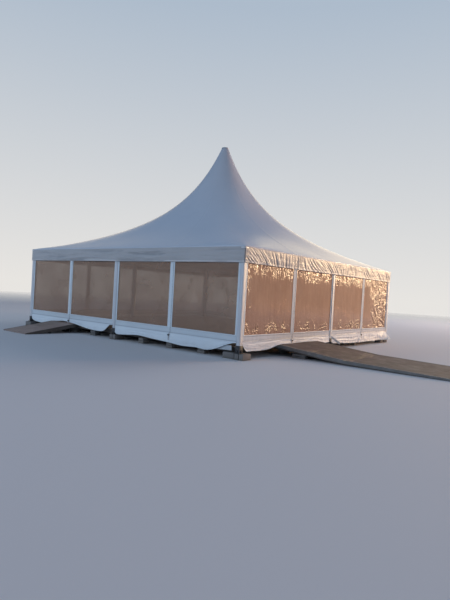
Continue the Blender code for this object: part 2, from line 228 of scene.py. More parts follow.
roofClothLook = {
    "colour": (0.65, 0.70, 0.77),
    "layers": [tint(0.35, (0.70, 0.745, 0.80), 0.8, (0.35, 0.75))],
    "wear": {"scale": 1.2, "detail": 2},
    "roughness": (0.285, 0.34),         # never below 0.28, or a denoised render shows islands
    "Specular IOR Level": 0.50,
    "Coat Weight": 0.9,
    "Coat Roughness": 0.16,
    "Sheen Weight": 0.05,
    # darker toward the peak: part dirt, part painted shade
    "soil": {"scale": 0.9, "detail": 4, "reach": 0.5, "between": (7.2, 4.2), "share": 0.60,
             "colour": (0.36, 0.39, 0.435)},
    "relief": [bumps(0.8, 0.10, 0.02, detail=1)],
}

valanceClothLook = {
    "colour": (0.475, 0.475, 0.48),
    "layers": [tint(1.2, (0.40, 0.41, 0.42), 0.6, stretch=(1, 1, 2))],
    # painted highlight: the hem band is painted this lighter colour
    "varies": (0.68, 0.67, 0.66),
    # painted shade: deep creases are painted toward this colour
    "creased": (0.27, 0.28, 0.30),
    "dust": 0.75,
    "wear": {"scale": 6, "detail": 5},
    "roughness": (0.285, 0.38),
    "Specular IOR Level": 0.30,
    "relief": [
        bumps(20, 0.60, 0.010, stretch=(1, 1, 0.5), detail=3, warp=0.8, calm=0.20),
        bumps(160, 0.05, 0.0004, kind="wave", warp=0.2),
    ],
}

curtainClothLook = {
    "colour": (0.75, 0.83, 0.87),
    "layers": [tint(1.6, (0.68, 0.75, 0.82), 0.5)],
    # painted shade along the kick's seam and on the loose flaps; the band above the seam is duller cloth
    "varies": (0.24, 0.26, 0.29),
    "soil": {"scale": 3.5, "detail": 6, "reach": 0.14, "between": (0.16, 0.42), "share": 0.25,
             "colour": (0.36, 0.35, 0.32)},
    "wear": {"scale": 5, "detail": 5},
    "roughness": (0.36, 0.55),
    "Specular IOR Level": 0.20,
    "relief": [
        bumps(5, 0.30, 0.012, stretch=(0.5, 0.5, 2.5), detail=3, warp=0.4),
        bumps(16, 0.45, 0.010, detail=3, warp=0.8, calm=0.05),
        bumps(160, 0.05, 0.0004, kind="wave", warp=0.2),
    ],
}

clearFilmLook = {
    "colour": (0.40, 0.25, 0.17),
    "layers": [tint(0.9, (0.48, 0.32, 0.22), 0.7)],
    "haze": {"scale": 1.4, "detail": 3},
    "alpha": (0.46, 0.60),
    "wear": {"scale": 7, "detail": 4},
    "roughness": (0.05, 0.16),
    "Specular IOR Level": 0.6,
    "relief": [
        bumps(3.5, 0.22, 0.02, stretch=(2, 2, 0.5), detail=2, warp=0.5),
        bumps(16, 0.50, 0.010, detail=3, warp=1.0, calm=0.06),
    ],
}

# a lit copy of the clear film: its brighter, warmer colour is painted sunlight
sunlitFilmLook = {
    "colour": (0.45, 0.275, 0.19),
    "layers": [
        tint(0.8, (0.56, 0.365, 0.255), 0.8, (0.35, 0.75)),
        tint(2.2, (0.34, 0.19, 0.125), 0.35, (0.45, 0.75), stretch=(2.2, 2.2, 0.4), detail=4),
    ],
    "haze": {"scale": 1.2, "detail": 3},
    "alpha": (0.74, 0.86),
    "wear": {"scale": 7, "detail": 4},
    "roughness": (0.05, 0.12),
    "Specular IOR Level": 0.8,
    "relief": [
        bumps(3.5, 0.25, 0.02, stretch=(2, 2, 0.5), detail=2, warp=0.5),
        bumps(18, 1.0, 0.026, detail=1, warp=1.2, calm=0.04),
    ],
}

capPaintLook = {
    "colour": (0.40, 0.47, 0.55),
    "layers": [tint(14, (0.28, 0.33, 0.38), 0.6, (0.45, 0.75))],
    "wear": {"scale": 20},
    "roughness": (0.35, 0.55),
    "relief": [bumps(60, 0.10, 0.001)],
}

aluminiumLook = {
    "colour": (0.74, 0.77, 0.80),
    "layers": [tint(3, (0.60, 0.64, 0.69), 0.6, (0.4, 0.7), stretch=(20, 20, 0.6))],
    "Metallic": 0.25,
    "wear": {"scale": 6, "stretch": (30, 30, 1)},
    "roughness": (0.32, 0.50),
    "relief": [bumps(12, 0.08, 0.0006, stretch=(40, 40, 0.5))],
}

zincLook = {
    "colour": (0.075, 0.077, 0.08),
    "layers": [
        tint(60, (0.19, 0.195, 0.20), 0.5, (0.0, 0.3), kind="cells"),
        tint(9, (0.16, 0.10, 0.06), 0.7, (0.55, 0.75), detail=6),
    ],
    "Metallic": 0.6,
    "wear": {"scale": 30},
    "roughness": (0.40, 0.65),
    "relief": [bumps(90, 0.15, 0.001)],
}

strandLook = {
    "colour": (0.36, 0.37, 0.38),
    "layers": [tint(30, (0.14, 0.14, 0.15), 0.8, (0.3, 0.7), kind="wave", turn=(0, 0, 0.9), warp=0.4)],
    "Metallic": 0.9,
    "wear": {"scale": 40},
    "roughness": (0.30, 0.50),
    "relief": [bumps(30, 0.8, 0.002, kind="wave", turn=(0, 0, 0.9), warp=0.4)],
}

floorPlyLook = {
    "colour": (0.36, 0.25, 0.18),
    "layers": [
        tint(4, (0.27, 0.18, 0.13), 0.8, (0.4, 0.65), stretch=(0.6, 9, 1), detail=8),
        tint(2.5, (0.42, 0.33, 0.26), 0.5, (0.55, 0.8), detail=6),
    ],
    "varies": (0.30, 0.22, 0.165),
    # the boards darken below their top faces, to near black on their sides and undersides
    "soil": {"scale": 2, "detail": 3, "reach": 0.01, "between": (0.300, 0.318), "share": 0.9,
             "colour": (0.07, 0.06, 0.05)},
    "wear": {"scale": 8, "detail": 5},
    "roughness": (0.45, 0.70),
    "relief": [bumps(6, 0.2, 0.002, stretch=(0.6, 12, 1), detail=8)],
}

bearerTimberLook = {
    "colour": (0.12, 0.105, 0.09),
    "layers": [
        tint(5, (0.07, 0.06, 0.052), 0.9, (0.4, 0.65), stretch=(0.4, 9, 9), detail=8, warp=0.4),
        tint(1.5, (0.17, 0.165, 0.16), 0.6, (0.5, 0.8), detail=6),
    ],
    "wear": {"scale": 12},
    "roughness": (0.70, 0.90),
    "relief": [bumps(8, 0.5, 0.003, stretch=(0.5, 10, 10), detail=8)],
}

concreteLook = {
    "colour": (0.18, 0.18, 0.18),
    "layers": [
        tint(5, (0.12, 0.117, 0.112), 0.8, (0.4, 0.7), detail=8),
        tint(40, (0.15, 0.15, 0.145), 0.6, (0.6, 0.72), detail=3),
    ],
    "varies": (0.22, 0.205, 0.19),
    "soil": {"scale": 6, "detail": 5, "reach": 0.05, "between": (0.0, 0.09), "share": 0.6,
             "colour": (0.12, 0.11, 0.08)},
    "wear": {"scale": 14},
    "roughness": (0.80, 0.95),
    "relief": [
        bumps(45, 0.5, 0.004, detail=6),
        bumps(70, 0.2, 0.002, kind="cells"),
    ],
}

rampPlyLook = {
    "colour": (0.120, 0.089, 0.069),
    "layers": [
        tint(1.6, (0.17, 0.132, 0.107), 0.8, (0.42, 0.7), detail=8, warp=0.6),
        tint(3.2, (0.13, 0.10, 0.09), 0.6, (0.55, 0.75), detail=8),
        tint(26, (0.33, 0.29, 0.25), 0.5, (0.62, 0.75), detail=3),
    ],
    "varies": (0.17, 0.124, 0.107),
    "wear": {"scale": 4, "detail": 6},
    "roughness": (0.48, 0.78),
    "relief": [
        bumps(55, 0.35, 0.0015, kind="cells"),
        bumps(12, 0.2, 0.003, detail=6),
    ],
}

# the front ramp's sheets are painted paler than the right ramp's: painted light
litRampPlyLook = dict(rampPlyLook, colour=(0.27, 0.205, 0.165), varies=(0.38, 0.29, 0.25), layers=[
    tint(1.6, (0.36, 0.29, 0.25), 0.8, (0.42, 0.7), detail=8, warp=0.6),
    tint(3.2, (0.22, 0.17, 0.15), 0.6, (0.55, 0.75), detail=8),
])

edgeTrimLook = {
    "colour": (0.21, 0.205, 0.195),
    "layers": [tint(5, (0.30, 0.30, 0.29), 0.7, (0.4, 0.7), detail=6)],
    "Metallic": 0.35,
    "wear": {"scale": 12},
    "roughness": (0.45, 0.70),
    "relief": [bumps(30, 0.2, 0.001, detail=5)],
}

strapLook = {
    "colour": (0.030, 0.045, 0.050),
    "layers": [tint(20, (0.07, 0.085, 0.09), 0.6, (0.4, 0.7))],
    "wear": {"scale": 20},
    "roughness": (0.60, 0.85),
    "relief": [bumps(180, 0.4, 0.0006, kind="wave", warp=0, along="Z")],
}

looks = {
    "roofCloth": roofClothLook, "valanceCloth": valanceClothLook, "curtainCloth": curtainClothLook,
    "clearFilm": clearFilmLook, "sunlitFilm": sunlitFilmLook, "capPaint": capPaintLook,
    "aluminium": aluminiumLook, "zinc": zincLook, "strand": strandLook, "floorPly": floorPlyLook,
    "bearerTimber": bearerTimberLook, "concrete": concreteLook, "rampPly": rampPlyLook,
    "paleRamp": litRampPlyLook, "edgeTrim": edgeTrimLook, "strap": strapLook,
}
finishes = {name: makeFinish(name, look) for name, look in looks.items()}
print("materials made")


# Small making tools

tiny = 1e-6                                 # slack where two numbers should be equal


def aroundZ(radius, angle, height):
    return Vector((radius * math.cos(angle), radius * math.sin(angle), height))


def sideTurn(number):
    return Matrix.Rotation(math.radians(90 * number), 4, "Z")


def newPiece(name, mesh, finish, smooth=35.0):
    piece = bpy.data.objects.new(name, mesh)
    bpy.context.scene.collection.objects.link(piece)
    mesh.materials.clear()
    mesh.materials.append(finishes[finish])
    mesh.shade_smooth()
    mesh.set_sharp_from_angle(angle=math.radians(smooth))
    return piece


def meshFrom(shape, name="shape"):
    mesh = bpy.data.meshes.new(name)
    shape.to_mesh(mesh)
    shape.free()
    return mesh


def rides(piece, slot, *nodes):
    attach(piece, "root")
    if nodes:
        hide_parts(*nodes)


def addPiece(name, shape, finish, slot, *nodes, smooth=35.0):
    # a finished piece from a shape
    piece = newPiece(name, meshFrom(shape), finish, smooth)
    rides(piece, slot, *nodes)
    return piece


def thicken(piece, thickness):
    wall = piece.modifiers.new("thickness", "SOLIDIFY")
    wall.thickness = thickness
    wall.offset = -1


def breakEdges(piece, width):
    edge = piece.modifiers.new("edges", "BEVEL")
    edge.width = width
    edge.segments = 1


def addBox(shape, low, high, edge=0.0, turn=None):
    # a box with its edges rounded off, turned about its own middle if asked
    box = bmesh.new()
    bmesh.ops.create_cube(box, size=1)
    low, high = Vector(low), Vector(high)
    bmesh.ops.scale(box, vec=high - low, verts=box.verts)
    if edge:
        bmesh.ops.bevel(box, geom=box.edges, offset=edge, segments=2, profile=0.5, affect="EDGES")
    place = Matrix.Translation((low + high) / 2)
    if turn:
        place = place @ Euler(turn).to_matrix().to_4x4()
    stamp(shape, box, place)
    box.free()


def stamp(shape, other, place):
    # copies one shape into another at a place
    copies = {vert: shape.verts.new(place @ vert.co) for vert in other.verts}
    for face in other.faces:
        shape.faces.new([copies[vert] for vert in face.verts])


def addLathe(shape, profile, segments, place=Matrix.Identity(4)):
    # turns (radius, height) points about Z, from the bottom up along the outside
    rings = []
    for radius, height in profile:
        count = segments if radius > 0 else 1
        spots = [aroundZ(radius, 2 * math.pi * step / segments, height) for step in range(count)]
        rings.append([shape.verts.new(place @ spot) for spot in spots])
    for lower, upper in zip(rings, rings[1:]):
        for step in range(segments):
            ahead = (step + 1) % segments
            corners = [lower[step % len(lower)], lower[ahead % len(lower)],
                       upper[ahead % len(upper)], upper[step % len(upper)]]
            shape.faces.new(list(dict.fromkeys(corners)))


def slottedOutline(width, depth, corner, slots):
    # outline of a drawn tent profile: a rounded box with keder grooves in each face
    mouth, bore, lip, sink = 0.007, 0.014, 0.004, 0.014
    points = []
    for number in range(4):
        length, across = (width, depth) if number % 2 == 0 else (depth, width)
        edge = [(-length / 2 + corner, 0)]
        for slot in slots:
            middle = slot * length
            edge += [(middle - mouth / 2, 0), (middle - mouth / 2, lip), (middle - bore / 2, lip)]
            edge += [(middle - bore / 2, sink), (middle + bore / 2, sink), (middle + bore / 2, lip)]
            edge += [(middle + mouth / 2, lip), (middle + mouth / 2, 0)]
        edge += [(length / 2 - corner, 0), (length / 2 - corner * 0.3, corner * 0.3)]
        cosine, sine = math.cos(math.radians(90 * number)), math.sin(math.radians(90 * number))
        for x, inward in edge:
            y = inward - across / 2
            points.append((x * cosine - y * sine, x * sine + y * cosine))
    return points


def joinRings(shape, rings):
    # walls from ring to ring of corners, and a face at each end
    for first, second in zip(rings, rings[1:]):
        for step in range(len(first)):
            ahead = (step + 1) % len(first)
            shape.faces.new((first[step], first[ahead], second[ahead], second[step]))
    shape.faces.new(list(reversed(rings[0])))
    shape.faces.new(rings[-1])


def addProfile(shape, outline, place, length):
    # pushes an outline along the place's Z
    joinRings(shape, [[shape.verts.new(place @ Vector((x, y, z))) for x, y in outline] for z in (0, length)])


def gridSheet(name, columns, rows, place, finish, keep=None, thickness=0.0012, smooth=50.0, marks=None):
    # a sheet woven from columns and rows: place gives each crossing, keep says which cells exist,
    # and marks gives attributes that the finish reads, such as how crinkled the cloth is there
    shape = bmesh.new()
    marks = {shape.verts.layers.float.new(mark): rule for mark, rule in (marks or {}).items()}
    made = {}

    def crossing(column, row):
        if (column, row) not in made:
            vert = shape.verts.new(place(columns[column], rows[row]))
            for layer, rule in marks.items():
                vert[layer] = rule(columns[column], rows[row])
            made[column, row] = vert
        return made[column, row]

    for column in range(len(columns) - 1):
        for row in range(len(rows) - 1):
            if keep and not keep(column, row):
                continue
            spots = ((column, row), (column + 1, row), (column + 1, row + 1), (column, row + 1))
            shape.faces.new([crossing(*spot) for spot in spots])
    piece = newPiece(name, meshFrom(shape, name), finish, smooth)
    if thickness:
        thicken(piece, thickness)
    return piece


def steps(cuts, pitch):
    # fills the spans between fixed cuts with even steps no wider than the pitch
    cuts = sorted(cuts)
    places = [cuts[0]]
    for low, high in zip(cuts, cuts[1:]):
        count = max(1, math.ceil((high - low) / pitch - tiny))
        places += [low + (high - low) * step / count for step in range(1, count + 1)]
    return places


def fold(u, v, seed):
    # sharp creases between soft bays, from -1 to 1
    total, size, weight = 0.0, 1.0, 0.6
    for octave in range(3):
        total += weight * (1 - 4 * abs(noise.noise(Vector((u * size, v * size, seed)))))
        size *= 2.1
        weight *= 0.45
    return max(-1.0, min(1.0, total))


def ease(value):
    value = min(max(value, 0.0), 1.0)
    return value * value * (3 - 2 * value)


def climb(value, start, end):
    # 0 before the start, 1 after the end and smooth between
    return ease((value - start) / (end - start))


# Geometry Nodes: what repeats

def newTree(name, inputs):
    tree = bpy.data.node_groups.new(name, "GeometryNodeTree")
    tree.interface.new_socket("Geometry", in_out="INPUT", socket_type="NodeSocketGeometry")
    tree.interface.new_socket("Geometry", in_out="OUTPUT", socket_type="NodeSocketGeometry")
    for label, kind, value in inputs:
        socket = tree.interface.new_socket(label, in_out="INPUT", socket_type="NodeSocket" + kind)
        if value is not None:
            socket.default_value = value
    return tree, tree.nodes.new("NodeGroupInput"), tree.nodes.new("NodeGroupOutput")


def join(tree, *links):
    # each link goes from a node's output to a node's input
    for source, output, target, name in links:
        tree.links.new(source.outputs[output], target.inputs[name])


def endTree(tree, given, taken, last, output):
    real = addNode(tree, "GeometryNodeRealizeInstances")
    coat = addNode(tree, "GeometryNodeSetMaterial")
    join(tree, (last, output, real, "Geometry"), (real, "Geometry", coat, "Geometry"),
         (given, "Finish", coat, "Material"), (coat, "Geometry", taken, "Geometry"))


def pointTurn(tree):
    # the turn that each seed point carries
    turn = addNode(tree, "GeometryNodeInputNamedAttribute", {"Name": "turn"}, data_type="FLOAT_VECTOR")
    rotation = addNode(tree, "FunctionNodeEulerToRotation")
    join(tree, (turn, "Attribute", rotation, "Euler"))
    return rotation


def storeShade(tree, parts, shade):
    # each part keeps a shade of its own for its finish
    store = addNode(tree, "GeometryNodeStoreNamedAttribute", {"Name": "shade"},
                    data_type="FLOAT", domain="INSTANCE")
    join(tree, (parts, "Instances", store, "Geometry"), (shade, 1, store, "Value"))
    return store


def makeSpreadTree():
    # one part on each point, turned as the point says, each a little different
    tree, given, taken = newTree("spreadParts", [
        ("Part", "Object", None),
        ("Smallest", "Float", 1.0),
        ("Seed", "Int", 1),
        ("Finish", "Material", None),
    ])
    part = addNode(tree, "GeometryNodeObjectInfo")
    size = addNode(tree, "FunctionNodeRandomValue", {"Max": 1.0}, data_type="FLOAT")
    shade = addNode(tree, "FunctionNodeRandomValue", {"ID": 3}, data_type="FLOAT")
    put = addNode(tree, "GeometryNodeInstanceOnPoints")
    index = addNode(tree, "GeometryNodeInputIndex")
    later = addNode(tree, "ShaderNodeMath", {1: 7.0}, operation="ADD")      # the shade's seed differs
    join(tree, (given, "Part", part, "Object"), (given, "Geometry", put, "Points"),
         (part, "Geometry", put, "Instance"), (pointTurn(tree), "Rotation", put, "Rotation"),
         (given, "Smallest", size, 2), (given, "Seed", size, "Seed"), (size, 1, put, "Scale"),
         (given, "Seed", later, 0), (later, 0, shade, "Seed"), (index, "Index", shade, "ID"))
    endTree(tree, given, taken, storeShade(tree, put, shade), "Geometry")
    return tree


def makeBoardTree():
    # rows of boards on a level bed, with open joints and a shade of its own for each board
    tree, given, taken = newTree("layBoards", [
        ("Length", "Float", 4.8),
        ("Width", "Float", 4.8),
        ("Thickness", "Float", 0.02),
        ("Joint", "Float", 0.004),
        ("Columns", "Int", 4),
        ("Rows", "Int", 8),
        ("Seed", "Int", 1),
        ("Finish", "Material", None),
    ])

    def work(operation, first, second):
        node = addNode(tree, "ShaderNodeMath", operation=operation)
        tree.links.new(first, node.inputs[0])
        tree.links.new(second, node.inputs[1])
        return node.outputs[0]

    want = given.outputs
    boardLength = work("DIVIDE", want["Length"], want["Columns"])
    boardWidth = work("DIVIDE", want["Width"], want["Rows"])
    grid = addNode(tree, "GeometryNodeMeshGrid")
    size = addNode(tree, "ShaderNodeCombineXYZ")
    for target, value in (
            (grid.inputs["Size X"], work("SUBTRACT", want["Length"], boardLength)),
            (grid.inputs["Size Y"], work("SUBTRACT", want["Width"], boardWidth)),
            (size.inputs["X"], work("SUBTRACT", boardLength, want["Joint"])),
            (size.inputs["Y"], work("SUBTRACT", boardWidth, want["Joint"]))):
        tree.links.new(value, target)
    board = addNode(tree, "GeometryNodeMeshCube")
    put = addNode(tree, "GeometryNodeInstanceOnPoints")
    rise = addNode(tree, "FunctionNodeRandomValue", {"Min": (0.0, 0.0, -0.0006), "Max": (0.0, 0.0, 0.0006)},
                   data_type="FLOAT_VECTOR")
    move = addNode(tree, "GeometryNodeTranslateInstances")
    shade = addNode(tree, "FunctionNodeRandomValue", data_type="FLOAT")
    join(tree, (given, "Columns", grid, "Vertices X"), (given, "Rows", grid, "Vertices Y"),
         (given, "Thickness", size, "Z"), (size, "Vector", board, "Size"), (grid, "Mesh", put, "Points"),
         (board, "Mesh", put, "Instance"), (put, "Instances", move, "Instances"),
         (given, "Seed", rise, "Seed"), (rise, 0, move, "Translation"), (given, "Seed", shade, "Seed"))
    endTree(tree, given, taken, storeShade(tree, move, shade), "Geometry")
    return tree


def makeCordTree():
    # a round cord along every chain of edges
    tree, given, taken = newTree("runCord", [
        ("Radius", "Float", 0.005),
        ("Sides", "Int", 8),
        ("Finish", "Material", None),
    ])
    curve = addNode(tree, "GeometryNodeMeshToCurve")
    circle = addNode(tree, "GeometryNodeCurvePrimitiveCircle")
    sweep = addNode(tree, "GeometryNodeCurveToMesh", {"Fill Caps": True})
    join(tree, (given, "Geometry", curve, "Mesh"), (given, "Sides", circle, "Resolution"),
         (given, "Radius", circle, "Radius"), (curve, "Curve", sweep, "Curve"),
         (circle, "Curve", sweep, "Profile Curve"))
    endTree(tree, given, taken, sweep, "Mesh")
    return tree


def makeZipTree():
    # a row of zip teeth upwards from each point, left and right by turns
    tree, given, taken = newTree("zipTeeth", [
        ("Length", "Float", 2.0),
        ("Pitch", "Float", 0.012),
        ("Tooth", "Vector", (0.007, 0.004, 0.005)),
        ("Stagger", "Float", 0.003),
        ("Finish", "Material", None),
    ])
    count = addNode(tree, "ShaderNodeMath", operation="DIVIDE")
    rise = addNode(tree, "ShaderNodeCombineXYZ")
    row = addNode(tree, "GeometryNodeMeshLine", mode="OFFSET")
    index = addNode(tree, "GeometryNodeInputIndex")
    turns = addNode(tree, "ShaderNodeMath", {1: 2.0}, operation="MODULO")
    aside = addNode(tree, "ShaderNodeMath", operation="MULTIPLY")
    shift = addNode(tree, "ShaderNodeCombineXYZ")
    step = addNode(tree, "GeometryNodeSetPosition")
    tooth = addNode(tree, "GeometryNodeMeshCube")
    teeth = addNode(tree, "GeometryNodeInstanceOnPoints")
    put = addNode(tree, "GeometryNodeInstanceOnPoints")
    join(tree, (given, "Length", count, 0), (given, "Pitch", count, 1), (given, "Pitch", rise, "Z"),
         (count, 0, row, "Count"), (rise, "Vector", row, "Offset"), (index, "Index", turns, 0),
         (turns, 0, aside, 0), (given, "Stagger", aside, 1), (aside, 0, shift, "X"),
         (row, "Mesh", step, "Geometry"), (shift, "Vector", step, "Offset"), (given, "Tooth", tooth, "Size"),
         (step, "Geometry", teeth, "Points"), (tooth, "Mesh", teeth, "Instance"),
         (given, "Geometry", put, "Points"), (teeth, "Instances", put, "Instance"),
         (pointTurn(tree), "Rotation", put, "Rotation"))
    endTree(tree, given, taken, put, "Instances")
    return tree


spreadTree = makeSpreadTree()
boardTree = makeBoardTree()
cordTree = makeCordTree()
zipTree = makeZipTree()


def grow(tree, seedMesh, finish, values):
    # runs a tree on a seed mesh and returns the plain mesh it makes
    seed = bpy.data.objects.new("seed", seedMesh)
    bpy.context.scene.collection.objects.link(seed)
    step = seed.modifiers.new("grow", "NODES")
    step.node_group = tree
    values = dict(values, Finish=finishes[finish])
    for socket in tree.interface.items_tree:
        if socket.in_out == "INPUT" and socket.name in values:
            step[socket.identifier] = values[socket.name]
    bpy.context.view_layer.update()
    evaluated = seed.evaluated_get(bpy.context.evaluated_depsgraph_get())
    mesh = bpy.data.meshes.new_from_object(evaluated)
    seed.modifiers.remove(step)
    bpy.data.objects.remove(seed)
    return mesh


def pointMesh(places):
    # seed points, each with the turn of what stands on it
    mesh = bpy.data.meshes.new("points")
    mesh.from_pydata([tuple(place) for place, turn in places], [], [])
    turns = mesh.attributes.new("turn", "FLOAT_VECTOR", "POINT")
    for number, (place, turn) in enumerate(places):
        turns.data[number].vector = tuple(turn)
    return mesh


def runCord(name, path, finish, radius, slot):
    # a round cord along a chain of points
    mesh = bpy.data.meshes.new("path")
    links = [(step, step + 1) for step in range(len(path) - 1)]
    mesh.from_pydata([tuple(point) for point in path], links, [])
    cord = newPiece(name, grow(cordTree, mesh, finish, {"Radius": radius, "Sides": 8}), finish)
    rides(cord, slot)
    return cord


def spread(name, part, places, finish, slot, smallest=1.0, seed=1):
    # one part at each of many places
    template = bpy.data.objects.new("template", meshFrom(part))
    bpy.context.scene.collection.objects.link(template)
    values = {"Part": template, "Smallest": smallest, "Seed": seed}
    piece = newPiece(name, grow(spreadTree, pointMesh(places), finish, values), finish)
    bpy.data.objects.remove(template)
    rides(piece, slot)


# Roof membrane

roofSheet = {
    "sweep": 2.40,            # the smaller, the deeper the roof line hangs
    "sharpening": 1.2,        # the larger, the later the corners come out of the round peak
    "ring": 0.130,
    "columns": 72,            # along each side
    "rows": 76,
    "crowding": 1.6,
    "roll": 0.007,            # keder roll along the eave
    "drop": 0.026,
    "seams": (-0.5, 0.5),
    "seamHalf": 0.018,
    "seamLift": 0.0007,
    "collar": 0.42,           # doubled cloth at the peak, by hip distance
    "patch": 0.85,            # doubled cloth in the corners
    "soft": 0.011,            # slow swell of the slopes
    "softScale": 0.55,
    "heldEdge": (0.93, 1.0),  # ripples fade out between these shares of the way to the eave
    "pucker": 0.004,          # small puckers near the eave
    "puckerScale": (3.1, 4),
    "puckerEdge": (0.80, 0.95),
    "cornerPull": 0.010,      # rays that fan out of the corners
    "pullRays": 9,
    "pullReach": (0.4, 2.8),  # they're full at the first distance and gone at the second
    "seamTop": 1.0,           # the seams stop this far from the peak, by hip distance
    "thickness": 0.0025,
}
hipReach = halfPlan * math.sqrt(2)
roofPitch = (peakTop - eaveTop) / (
    1 / (roofSheet["ring"] + roofSheet["sweep"]) - 1 / (hipReach + roofSheet["sweep"]))


def roofRise(reach):
    return roofPitch * (1 / (reach + roofSheet["sweep"]) - 1 / (hipReach + roofSheet["sweep"]))


def levelLine(reach, angle):
    # distance from the middle on one level line, from a circle at the peak to a square at the eave
    squareness = (reach / hipReach) ** roofSheet["sharpening"]
    flat = reach * (1 - (1 - 1 / math.sqrt(2)) * squareness)
    across, along = abs(math.cos(angle)), abs(math.sin(angle))
    bulge = math.sqrt(2) * flat / reach
    if bulge < 1.003:
        return flat / max(across, along)
    power = math.log(2) / math.log(bulge)
    return flat / (across**power + along**power) ** (1 / power)


def roofPlace(share, reach):
    # share runs 0 to 8 round the roof, one whole number for each half side
    number, rest = divmod(share + 1, 2)
    angle = math.atan(rest - 1) + math.radians(90) * (number - 1)
    out = levelLine(reach, angle)
    return aroundZ(out, angle, eaveTop + roofRise(reach))


def roofRipple(place, share, reach):
    tall = (reach - roofSheet["ring"]) / (hipReach - roofSheet["ring"])
    edge = max(abs(place.x), abs(place.y)) / halfPlan
    held = 1 - climb(edge, *roofSheet["heldEdge"])
    lift = roofSheet["soft"] * held * tall * noise.noise(place * roofSheet["softScale"])
    along = place.y if abs(place.x) > abs(place.y) else place.x
    alongScale, edgeScale = roofSheet["puckerScale"]
    pucker = held * noise.noise(Vector((along * alongScale, edge * edgeScale, 7)))
    lift += roofSheet["pucker"] * climb(edge, *roofSheet["puckerEdge"]) * pucker
    toCorner = Vector((halfPlan - abs(place.x), halfPlan - abs(place.y)))
    away = toCorner.length
    near, far = roofSheet["pullReach"]
    rays = math.sin(roofSheet["pullRays"] * math.atan2(toCorner.y, toCorner.x + tiny) + 0.6)
    lift += roofSheet["cornerPull"] * rays * ease(away / near) * (1 - climb(away, near, far))
    for seam in roofSheet["seams"]:
        aside = abs(((share + 1) % 2) - 1 - seam)
        if aside * halfPlan < roofSheet["seamHalf"] and reach > roofSheet["seamTop"]:
            lift += roofSheet["seamLift"]
    if reach < roofSheet["collar"] or away < roofSheet["patch"]:
        lift += roofSheet["seamLift"]
    return lift


def makeRoof():
    cuts = [0.0]
    for quarter in range(4):
        for seam in roofSheet["seams"]:
            middle = quarter * 2 + 1 + seam
            half = roofSheet["seamHalf"] / halfPlan
            cuts += [middle + half * part for part in (-1.25, -0.9, 0.9, 1.25)]
    cuts.append(8.0)
    columns = steps(cuts, 2 / roofSheet["columns"])
    rows = [hipReach + 2, hipReach + 1.5, hipReach + 1, hipReach + 0.5]      # the roll, then the slope
    for row in range(roofSheet["rows"] + 1):
        share = (1 - row / roofSheet["rows"]) ** roofSheet["crowding"]
        rows.append(roofSheet["ring"] + (hipReach - roofSheet["ring"]) * share)

    def place(column, row):
        share = column - 1
        if row > hipReach:
            spot = roofPlace(share, hipReach)
            turn = (row - hipReach) / 2
            out = roofSheet["roll"] * math.sin(math.pi * min(turn * 1.2, 1.0)) + 0.002
            spot.z -= roofSheet["drop"] * turn
            wider = 1 + out / halfPlan
            return Vector((spot.x * wider, spot.y * wider, spot.z))
        spot = roofPlace(share, row)
        spot.z += roofRipple(spot, share, row)
        return spot

    piece = gridSheet("roofSheet", columns, rows, place, "roofCloth", thickness=0, smooth=60)
    shape = bmesh.new()
    shape.from_mesh(piece.data)
    bmesh.ops.remove_doubles(shape, verts=shape.verts, dist=0.0001)
    shape.to_mesh(piece.data)
    shape.free()
    thicken(piece, roofSheet["thickness"])
    rides(piece, "roof_cloth", "roof_membrane")
    return piece


roofPiece = makeRoof()
print("roof sheet made")


# Peak cap

peakCap = {
    "rim": 0.136,
    "lip": 0.013,
    "height": 0.050,
    "crown": 10,              # steps from the lip to the top
    "bolts": 12,
    "boltLean": 38,
    "bolt": [(0, 0), (0.009, 0), (0.009, 0.002), (0.006, 0.002), (0.006, 0.006), (0.004, 0.007), (0, 0.007)],
}


def makeCap():
    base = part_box("roof_cap")[0].z
    rim, lip = peakCap["rim"], peakCap["lip"]
    shoulder = lip + 0.003
    profile = [(0, 0), (rim - 0.010, 0), (rim + 0.001, 0.001), (rim + 0.003, 0.006),
               (rim + 0.001, lip), (rim - 0.008, shoulder)]
    for step in range(1, peakCap["crown"]):
        angle = math.radians(90) * step / peakCap["crown"]
        rise = (peakCap["height"] - shoulder) * math.sin(angle)
        profile.append(((rim - 0.008) * math.cos(angle), shoulder + rise))
    profile.append((0, peakCap["height"]))
    shape = bmesh.new()
    addLathe(shape, profile, 48, Matrix.Translation((0, 0, base)))
    addPiece("peakCap", shape, "capPaint", "cap_plastic", "roof_cap")

    bolt = bmesh.new()
    addLathe(bolt, peakCap["bolt"], 8)
    places = []
    for step in range(peakCap["bolts"]):
        angle = 2 * math.pi * step / peakCap["bolts"]
        tilt = Matrix.Rotation(angle, 3, "Z") @ Matrix.Rotation(math.radians(peakCap["boltLean"]), 3, "Y")
        places.append((aroundZ((rim - 0.008) * 0.90, angle, base + lip + 0.017), tilt.to_euler()))
    spread("peakCapBolts", bolt, places, "zinc", "cap_plastic")


makeCap()
print("peak cap made")


# Valances

